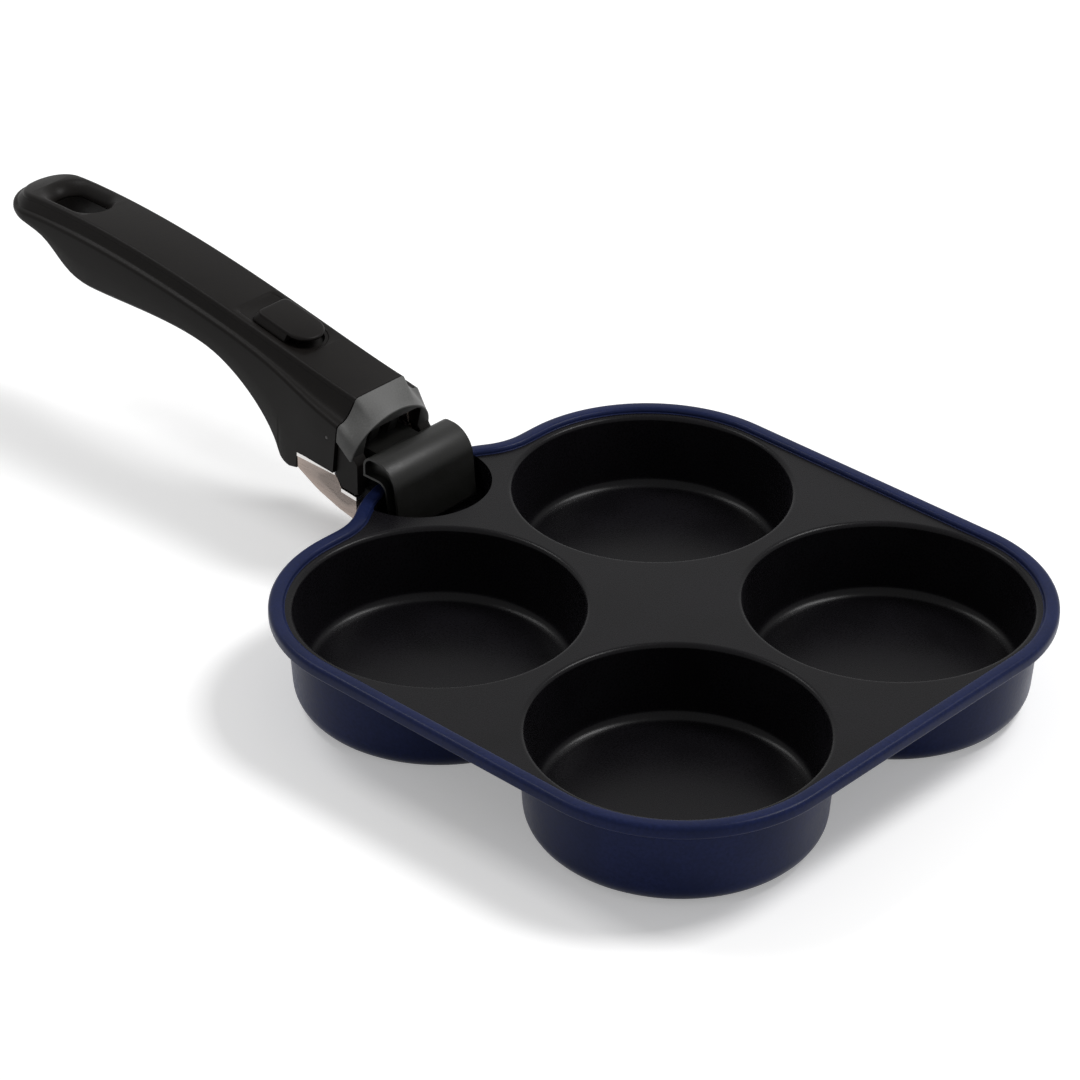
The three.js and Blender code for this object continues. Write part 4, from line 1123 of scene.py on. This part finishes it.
    def top_cover(self) -> bpy.types.Object:
        """Builds the cover with the slider's recess and the dished hang hole.

        Returns:
            The cover.
        """
        bm = bmesh.new()
        half, front = self.cover_half, self.front + self.play
        plan = arc(self.rear, 0, half, math.pi / 2, 3 * math.pi / 2, 40) + [(front, -half), (front, half)]
        sweep(bm, [level(plan, 0)])
        rim = list(bm.edges)
        top = bmesh.ops.contextual_create(bm, geom=rim)["faces"]
        made = bmesh.ops.extrude_face_region(bm, geom=top, use_keep_orig=True)["geom"]
        lower = [g for g in made if isinstance(g, bmesh.types.BMVert)]
        bmesh.ops.translate(bm, vec=(0, 0, -self.cover), verts=lower)
        bmesh.ops.recalc_face_normals(bm, faces=bm.faces)
        soften(bm, [e for e in rim if any(v.co.x < front - MERGE for v in e.verts)], self.edge, 6)
        for k in range(self.cover_slices):
            everything = list(bm.verts) + list(bm.edges) + list(bm.faces)
            place_x = front - self.slice_step * (k + 1)
            bmesh.ops.bisect_plane(bm, geom=everything, plane_co=(place_x, 0, 0), plane_no=(1, 0, 0))
        for vert in bm.verts:
            vert.co.z += CROWN.at(vert.co.x)
        cover = make(bm, "grip_cover", HANDLE_PLACE, (self.nylon,))
        tail, slot_front = STROKE + self.play, self.neck_half + self.slot_play
        recess = [self.thumb_loop(grow, tail + more, z) for grow, more, z in self.recess]
        pit = [self.thumb_loop(grow, -self.slider_half_length, z) for grow, z in self.pit]
        change(cover, [
            prism(recess, SLIDE_PLACE),
            prism(pit, SLIDE_PLACE),
            block((-slot_front - STROKE, -self.slot_half, -BEYOND), (slot_front, self.slot_half, 0), SLIDE_PLACE),
            rod((self.bar_rear, 0, BAR_Z), (self.coil_front, 0, BAR_Z), self.coil_bore, SLIDE_PLACE),
            prism([self.dish_loop(margin, depth) for margin, depth in self.dish], HANDLE_PLACE),
        ])
        fit(cover, Body.HANDLE, "grip_plastic", "top_cover")
        return cover

    def slider(self) -> bpy.types.Object:
        """Builds the thumb slider: a round-nosed cap on a shorter foot with sloped sides, and its forked neck.

        Returns:
            The slider.
        """
        top, under = self.slider_top, self.slider_lip
        rows = [(-0.6, under), (-0.1, under + 0.2), (0, under + 0.45), (-0.06, top - 0.5), (-0.24, top - 0.24)]
        rows += [(-0.52, top - 0.07), (-0.9, top)]
        cap = prism([self.thumb_loop(grow, 0, z) for grow, z in rows], SLIDE_PLACE)
        cap.name = "thumb_cap"
        cap.data.materials.append(self.nylon)
        slope = ((1.1, -self.slider_sunk), (1.05, 0.2), (0.75, 0.9), (0.15, 1.9), (-0.2, 2.4), (-0.6, top - 0.1))
        foot = prism([self.foot_loop(grow, z) for grow, z in slope], SLIDE_PLACE)
        low = (-self.neck_half, -self.neck_half_width, -self.neck_drop)
        neck = block(low, (self.neck_half, self.neck_half_width, 0), SLIDE_PLACE)
        change(cap, [foot, neck], Cut.JOIN)
        fork = block((-BEYOND, -self.fork_half, -BEYOND), (BEYOND, self.fork_half, self.fork_top), SLIDE_PLACE)
        change(cap, [fork])
        fit(cap, Body.SLIDER, "grip_plastic", "thumb_slider")
        return cap


@dataclass
class Clamp:
    """The nose of the handle: grey collar, steel bracket, hook jaw, cheek pins and the two grip pads."""

    collar_plastic: bpy.types.Material
    steel: bpy.types.Material
    powder: bpy.types.Material
    silicone: bpy.types.Material
    # The darker grey on the lip round the mouth: painted shade.
    lip_painted_shade: bpy.types.Material
    # Black nylon: painted shade inside the mouth, and the guards' own black.
    mouth_shade_and_guard_plastic: bpy.types.Material
    oxide: bpy.types.Material
    # A paler steel on the bracket's flanges: painted highlight.
    steel_painted_highlight: bpy.types.Material
    grip: Grip
    points: int = 121
    rear_x: float = -8.7
    rear_lean: float = 0.1195
    rear_top: float = 25.4
    rear_half: float = 17.0
    skirt: float = 13.0
    nose_x: float = -1.5
    nose_top: float = 20.3
    chin_x: float = -4.5
    chin: float = 8.0
    nose_half: float = 16.4
    mouth_half: float = 11.2
    mouth_top: float = 16.8
    wall: float = 2.0
    lip: float = 1.6
    bracket_round: float = 0.3
    pad_round: float = 0.25
    jaw_start: float = 2.0
    jaw_top: float = 12.5
    jaw_bend: float = 13.4
    jaw_tip: float = 15.6
    jaw_toe: float = -9.5
    bend_radius: float = 8.5
    jaw_round: float = 0.6
    jaw_floor: float = 13.6
    jaw_recess: tuple[Corner, ...] = (
        (1.25, 6.25, 0), (1.25, 11.75, 2.75), (12.73, 11.75, 7.75), (14.78, -8.75, 0.6), (11.94, -8.75, 0.6),
        (9.75, 6.25, 3.75), (5.0, 6.25, 0),
    )
    guard_outline: tuple[Corner, ...] = (
        (-10.4, 12.4, 0), (-11.85, 0.0, 0.5), (-9.4, -2.8, 0.8), (-2.4, -3.4, 1.2), (-2.4, 7.0, 0.8),
        (-4.6, 10.0, 0.8), (-6.0, 12.4, 0),
    )
    guard_middle: tuple[float, float] = (-6.2, 4.5)
    guard_size: float = 14.0
    guard_rows: Rows = ((0.2, 0.5), (0.5, 0), (3.8, 0), (4.3, 0.15), (4.6, 0.5))
    flange: tuple[Corner, ...] = ((-28.4, 0.3, 0), (-12.1, 0.3, 0.2), (-12.3, 1.5, 0.3), (-28.4, 1.5, 0))
    lower_flange: tuple[Corner, ...] = ((-9.6, -4.5, 0), (-3.2, -5.1, 0.2), (-3.2, -3.9, 0.3), (-9.6, -3.3, 0))
    flange_reach: tuple[float, float] = (11.8, 15.75)
    skirt_plate: tuple[Corner, ...] = (
        (-28.3, 0.4, 0), (-28.2, -3.6, 0.8), (-19.85, -7.9, 30), (-10.6, -10.8, 20), (-3.4, -12.2, 1.0),
        (-3.4, -4.2, 0.2), (-9.5, -3.6, 0.2), (-12.0, 0.4, 0),
    )
    skirt_reach: tuple[float, float] = (14.1, 15.6)
    pin_profile: Rows = ((0, 8.0), (1.3, 8.0), (1.3, 15.5), (0.68, 15.5), (0.68, 16.5), (0.52, 16.68), (0, 16.7))
    pin_steps: int = 32

    def scooped_end(self, inset: float) -> Plan:
        """Gives the section behind, which follows the grip's scooped front.

        Args:
            inset: How far it is drawn in.

        Returns:
            Its points as y and z.
        """
        grip, half = self.grip, self.rear_half - inset
        flat, brow = self.rear_half - grip.top_half, self.rear_top - grip.edge
        rise = grip.band_rise + grip.band_slope * flat
        side = [(half, self.skirt)]
        side += [(half - i, brow - rise + z - inset / 2) for i, z in scooped(flat, rise, grip.front_hollow)]
        side += arc(half - flat - grip.edge, brow - inset, grip.edge, 0.3, math.pi / 2, 4)
        return evenly([(-y, z) for y, z in side] + side[::-1], self.points)

    def hollow(self, plan: Plan) -> Plan:
        """Gives a section's inside, no wider than the mouth, so that the cheeks beside it are solid."""
        return [(max(-self.mouth_half, min(self.mouth_half, y)), z) for y, z in plan]

    def arch(self, inset: float) -> Plan:
        """Gives the section in front, a smooth arch.

        Args:
            inset: How far it is drawn in.

        Returns:
            Its points as y and z.
        """
        half, rise = self.nose_half - inset, self.nose_top - self.chin - inset
        arched = [(x, self.chin + y * rise / half) for x, y in arc(0, 0, half, math.pi, 0, 60)]
        return evenly(arched, self.points)

    def mouth(self, grow: float) -> Plan:
        """Gives the opening of the mouth, flat on top.

        Args:
            grow: How far it is grown.

        Returns:
            Its points as y and z.
        """
        half, top = self.mouth_half + grow, self.mouth_top + grow
        corners = [(-half, self.chin, 0), (-half, top, 2.2), (half, top, 2.2), (half, self.chin, 0)]
        return evenly(rounded(corners, 5), self.points)

    def behind(self, plan: Plan, ahead: float) -> list[Vector]:
        """Stands a section up against the grip's leaning front."""
        return [Vector((self.rear_x - self.rear_lean * (self.rear_top - z) + ahead, y, z)) for y, z in plan]

    def in_front(self, plan: Plan, back: float) -> list[Vector]:
        """Stands a section up on the collar's leaning nose."""
        lean = (self.nose_x - self.chin_x) / (self.nose_top - self.chin)
        return [Vector((self.nose_x - lean * (self.nose_top - z) - back, y, z)) for y, z in plan]

    def guard(self, side: int) -> list[list[Vector]]:
        """Gives the loops of the black guard that hangs below one cheek of the collar.

        Args:
            side: 1 for the left cheek, -1 for the right one.

        Returns:
            The loops, from the middle outwards.
        """
        middle = Vector(self.guard_middle)
        loops = []
        for out, inset in self.guard_rows:
            y = side * (self.mouth_half + out)
            drawn = [
                middle + (Vector(p) - middle) * (1 - inset / self.guard_size) for p in rounded(self.guard_outline, 4)
            ]
            loops.append([Vector((p.x, y, p.y)) for p in drawn])
        return loops

    def collar(self) -> bpy.types.Object:
        """Builds the collar: the grip's section behind that runs into an arched lip, with a guard below each cheek.

        Returns:
            The collar.
        """
        bm = bmesh.new()
        rear, nose = self.behind(self.scooped_end(0), 0.2), self.in_front(self.arch(0), 0.5)
        loops = [self.behind(self.scooped_end(0.2), 0), rear]
        for share in (0.2, 0.4, 0.6, 0.8):
            loops.append([a.lerp(b, share) for a, b in zip(rear, nose)])
        loops += [nose, self.in_front(self.arch(0.15), 0.12), self.in_front(self.arch(0.55), 0)]
        # From this band on, the lip round the mouth takes the darker grey as painted shade.
        grey = len(loops) - 1
        loops += [self.in_front(self.mouth(0.3), 0), self.in_front(self.mouth(0.1), 0.1)]
        # From this band on, the inside of the mouth is black as painted shade.
        dark = len(loops) - 1
        loops += [self.in_front(self.mouth(0), 0.4), self.in_front(self.mouth(0), self.lip)]
        loops += [self.in_front(self.hollow(self.arch(self.wall)), self.lip)]
        loops += [self.behind(self.hollow(self.scooped_end(self.wall)), 0), loops[0]]
        slots = [int(band >= grey) + int(band >= dark) for band in range(len(loops) - 1)]
        sweep(bm, loops, closed=False, slots=slots)
        bmesh.ops.remove_doubles(bm, verts=bm.verts, dist=MERGE / MM)
        bmesh.ops.holes_fill(bm, edges=open_edges(bm), sides=0)
        collar = make(bm, "collar_shell", HANDLE_PLACE, (self.collar_plastic, self.lip_painted_shade, self.mouth_shade_and_guard_plastic))
        change(collar, [prism(self.guard(side), HANDLE_PLACE, 2) for side in (-1, 1)], Cut.JOIN)
        fit(collar, Body.HANDLE, "collar_plastic", "collar")
        return collar

    def bracket(self) -> bpy.types.Object:
        """Builds the pressed steel bracket with its skirts, and flanges in a paler steel as a painted highlight.

        Returns:
            The bracket.
        """
        bm = traced("chassis")
        soften(bm, sharp_edges(bm, SHARP), self.bracket_round * MM, 2)
        bracket = make(bm, "steel_bracket", Matrix.Identity(4), (self.steel, self.steel_painted_highlight))
        # The flanges in slot 1 take the paler steel as a painted highlight along the bracket's top.
        sheets = (
            (self.skirt_plate, self.skirt_reach, 0), (self.flange, self.flange_reach, 1),
            (self.lower_flange, self.flange_reach, 1),
        )
        for side in (-1, 1):
            parts = []
            for outline, (inner, outer), slot in sheets:
                parts.append(plate(rounded(outline, 5), (side * inner, side * outer), slot))
            change(bracket, parts, Cut.JOIN)
        fit(bracket, Body.HANDLE, "steel", "chassis")
        return bracket

    def jaw(self) -> bpy.types.Object:
        """Builds the hook jaw with its rounded bend and the recess in each end.

        Returns:
            The jaw.
        """
        jaw = make(traced("hook_jaw"), "clamp_jaw", Matrix.Identity(4), (self.powder,))
        start, top, toe = self.jaw_start, self.jaw_top, self.jaw_toe
        bend = rounded([(0, top, 0), (self.jaw_bend, top, self.bend_radius), (self.jaw_tip, toe, 0)], 18)[1:]
        waste = [(start, top + 0.2), *bend, (BEYOND, toe), (BEYOND, BEYOND), (start, BEYOND)]
        change(jaw, [plate(waste, (-BEYOND, BEYOND))])
        bm = bmesh.new()
        bm.from_mesh(jaw.data)
        bmesh.ops.dissolve_limit(bm, angle_limit=FLAT, verts=bm.verts, edges=bm.edges)
        soften(bm, sharp_edges(bm, SHARP), self.jaw_round * MM, 4)
        bm.to_mesh(jaw.data)
        bm.free()
        recess = rounded(self.jaw_recess, 12)
        change(jaw, [plate(recess, (-BEYOND, -self.jaw_floor)), plate(recess, (self.jaw_floor, BEYOND))])
        fit(jaw, Body.HOOK, "hook_coating", "hook_jaw")
        return jaw

    def pins(self) -> list[bpy.types.Object]:
        """Builds the two stepped pins that hold the collar to the grip's cheeks.

        Returns:
            The left and the right pin.
        """
        made = []
        for side, word in ((1, "left"), (-1, "right")):
            node = f"cheek_rivet_{word}"
            low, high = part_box(node)
            inner = min(abs(low[1]), abs(high[1])) / MM
            bm = bmesh.new()
            line = [Vector((r, side * max(y, inner), 0)) for r, y in self.pin_profile]
            turned(bm, line, (0, 0, 0), (0, 1, 0), self.pin_steps)
            pin = make(bm, f"cheek_pin_{word}", place(HANDLE_X + PIN_X, DECK_Z + PIN_Z), (self.oxide,))
            fit(pin, Body.HANDLE, "steel", node)
            made.append(pin)
        return made

    def pads(self) -> list[bpy.types.Object]:
        """Builds the two pads that pinch the lobe's wall.

        Returns:
            The outer pad and the hook's pad.
        """
        made = []
        for node, name, body in (
            ("outer_jaw_pad", "bracket_pad", Body.HANDLE), ("hook_pad", "jaw_pad", Body.HOOK),
        ):
            bm = traced(node)
            soften(bm, sharp_edges(bm, SHARP), self.pad_round * MM, 2)
            pad = make(bm, name, Matrix.Identity(4), (self.silicone,))
            fit(pad, body, "silicone", node)
            made.append(pad)
        return made


@dataclass
class Fittings:
    """The return spring, and the small turned and bent pieces that keep their CAD shape."""

    steel: bpy.types.Material
    bush: bpy.types.Material
    bushes: tuple[str, ...] = ("pivot_bush_left", "pivot_bush_right")
    coil_radius: float = 2.3
    wire_radius: float = 0.45
    coil_turns: int = 7
    coil_steps: int = 24
    wire_sides: int = 12

    def spring(self) -> bpy.types.Object:
        """Builds the return spring, at the length that it has in the frame; the real one shortens as the slider is
        drawn back.

        Returns:
            The spring.
        """
        back = SLIDE_PLACE.inverted()
        ends = [(back @ vert.co).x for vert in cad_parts["return_spring"].data.vertices]
        rear, front = min(ends), max(ends)
        start, steps = Vector((front - self.wire_radius, 0, BAR_Z)), self.coil_turns * self.coil_steps
        run = front - rear - 2 * self.wire_radius
        bm = bmesh.new()
        beside = Matrix.Translation(start + Vector((0, self.coil_radius, 0)))
        bmesh.ops.create_circle(bm, segments=self.wire_sides, radius=self.wire_radius, matrix=beside)
        bmesh.ops.spin(
            bm, geom=list(bm.verts) + list(bm.edges), cent=start, axis=(1, 0, 0), dvec=(-run / steps, 0, 0),
            angle=math.tau * self.coil_turns, steps=steps,
        )
        bmesh.ops.holes_fill(bm, edges=open_edges(bm), sides=0)
        coil = make(bm, "coil_spring", SLIDE_PLACE, (self.steel,))
        fit(coil, Body.HANDLE, "steel", "return_spring")
        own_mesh(coil)
        return coil

    def dress(self) -> None:
        """Gives each remaining CAD node its finish."""
        replaced = {"pan_body", "grip_body", "top_cover", "thumb_slider", "collar", "chassis", "hook_jaw"}
        replaced |= {"outer_jaw_pad", "hook_pad", "cheek_rivet_left", "cheek_rivet_right", "return_spring"}
        for name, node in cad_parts.items():
            if name in replaced:
                continue
            for held in node.material_slots:
                held.material = self.bush if name in self.bushes else self.steel
            LOG.info("%s: kept from the frame", name)


@dataclass
class Studio:
    """The pale floor, the soft light and the camera of the photograph."""

    target: Corner = (40.686, -0.082, 29.5)
    azimuth: float = math.radians(42.94)
    elevation: float = math.radians(31.58)
    roll: float = math.radians(0.466)
    distance: float = 1180.0
    lens: float = 135.70
    sensor: float = 36.0
    floor_size: float = 6.0
    floor_drop: float = 0.0002
    floor_glow: float = 0.3
    ambient: float = 0.3
    box_size: float = 0.35

    def camera(self) -> None:
        """Sets the camera up as the photograph was taken."""
        a, e = self.azimuth, self.elevation
        back = Vector((math.sin(a) * math.cos(e), -math.cos(a) * math.cos(e), math.sin(e)))
        right = Vector((math.cos(a), math.sin(a), 0))
        up = back.cross(right)
        turn = Matrix((right, up, back)).transposed().to_4x4() @ Matrix.Rotation(self.roll, 4, "Z")
        data = bpy.data.cameras.new("photo_camera")
        data.lens, data.sensor_width, data.sensor_fit = self.lens, self.sensor, "HORIZONTAL"
        camera = bpy.data.objects.new("photo_camera", data)
        camera.matrix_world = Matrix.Translation((Vector(self.target) + back * self.distance) * MM) @ turn
        bpy.context.scene.collection.objects.link(camera)
        bpy.context.scene.camera = camera

    def seen(self, tree: bpy.types.NodeTree) -> bpy.types.NodeSocket:
        """Adds the test for a ray that shows the background: camera, mirror or glass.

        Args:
            tree: The tree to add it to.

        Returns:
            A socket that is 1 for such a ray and 0 for any other.
        """
        path = add_node(tree, "ShaderNodeLightPath").outputs
        either = add_node(
            tree, "ShaderNodeMath", {0: path["Is Camera Ray"], 1: path["Is Glossy Ray"]}, operation="MAXIMUM"
        )
        return add_node(
            tree, "ShaderNodeMath", {0: either.outputs["Value"], 1: path["Is Transmission Ray"]}, operation="MAXIMUM"
        ).outputs["Value"]

    def world(self) -> None:
        """Lights the scene softly all round, white where the background shows."""
        world = bpy.data.worlds.new("studio")
        world.use_nodes = True
        tree = world.node_tree
        tree.nodes.clear()
        strength = add_node(
            tree, "ShaderNodeMapRange", {"Value": self.seen(tree), "To Min": self.ambient, "To Max": 1.0}
        )
        shader = add_node(
            tree, "ShaderNodeBackground", {"Color": (1, 1, 1, 1), "Strength": strength.outputs["Result"]}
        )
        add_node(tree, "ShaderNodeOutputWorld", {"Surface": shader.outputs["Background"]})
        bpy.context.scene.world = world

    def lamp(self, name: str, at: Corner, watts: float) -> None:
        """Hangs a soft box that faces the pan.

        Args:
            name: Name of the lamp.
            at: Where it hangs, in metres.
            watts: Its power.
        """
        data = bpy.data.lights.new(name, "AREA")
        data.shape, data.size, data.energy = "SQUARE", self.box_size, watts
        lamp = bpy.data.objects.new(name, data)
        aim = Vector(self.target) * MM - Vector(at)
        lamp.matrix_world = Matrix.Translation(at) @ aim.to_track_quat("-Z", "Y").to_matrix().to_4x4()
        bpy.context.scene.collection.objects.link(lamp)

    def floor(self) -> None:
        """Lays a plain white floor that keeps the pan's shadow."""
        made, tree = blank_material("matt_white_floor")
        plain = add_node(tree, "ShaderNodeBsdfDiffuse", {"Color": linear("#f4f4f4")})
        lift = add_node(tree, "ShaderNodeMath", {0: self.seen(tree), 1: self.floor_glow}, operation="MULTIPLY")
        glow = add_node(tree, "ShaderNodeEmission", {"Color": (1, 1, 1, 1), "Strength": lift.outputs["Value"]})
        both = add_node(tree, "ShaderNodeAddShader", {0: plain.outputs["BSDF"], 1: glow.outputs["Emission"]})
        add_node(tree, "ShaderNodeOutputMaterial", {"Surface": both.outputs["Shader"]})
        bm = bmesh.new()
        bmesh.ops.create_grid(bm, x_segments=1, y_segments=1, size=self.floor_size)
        floor = make(bm, "floor", Matrix.Translation((0, 0, -self.floor_drop)), (made,))

    def build(self) -> None:
        """Builds the whole studio."""
        self.camera()
        self.world()
        self.lamp("right_box", (0.385, 0.52, 1.00), 8.2)
        self.lamp("left_box", (-0.627, -0.115, 0.96), 3.3)
        self.floor()


def main() -> None:
    """Builds the pan, the handle and the studio."""
    logging.basicConfig(level=logging.INFO, format="%(name)s %(message)s")
    bpy.context.scene.view_settings.view_transform = "Standard"
    Studio().build()
    PanCasting(ENAMEL.material(), NON_STICK.material()).build()
    grip = Grip(NYLON.material())
    grip.shell()
    grip.top_cover()
    grip.slider()
    clamp = Clamp(
        GREY_NYLON.material(), STEEL_SHEET.material(), POWDER_COAT.material(), SILICONE.material(),
        PAINTED_SHADE_NYLON.material(), grip.nylon, OXIDE.material(), STEEL_PAINTED_HIGHLIGHT.material(), grip,
    )
    clamp.collar()
    clamp.bracket()
    clamp.jaw()
    clamp.pins()
    clamp.pads()
    fittings = Fittings(STEEL_WIRE.material(), ACETAL.material())
    fittings.spring()
    fittings.dress()


if __name__ == "__main__":
    main()
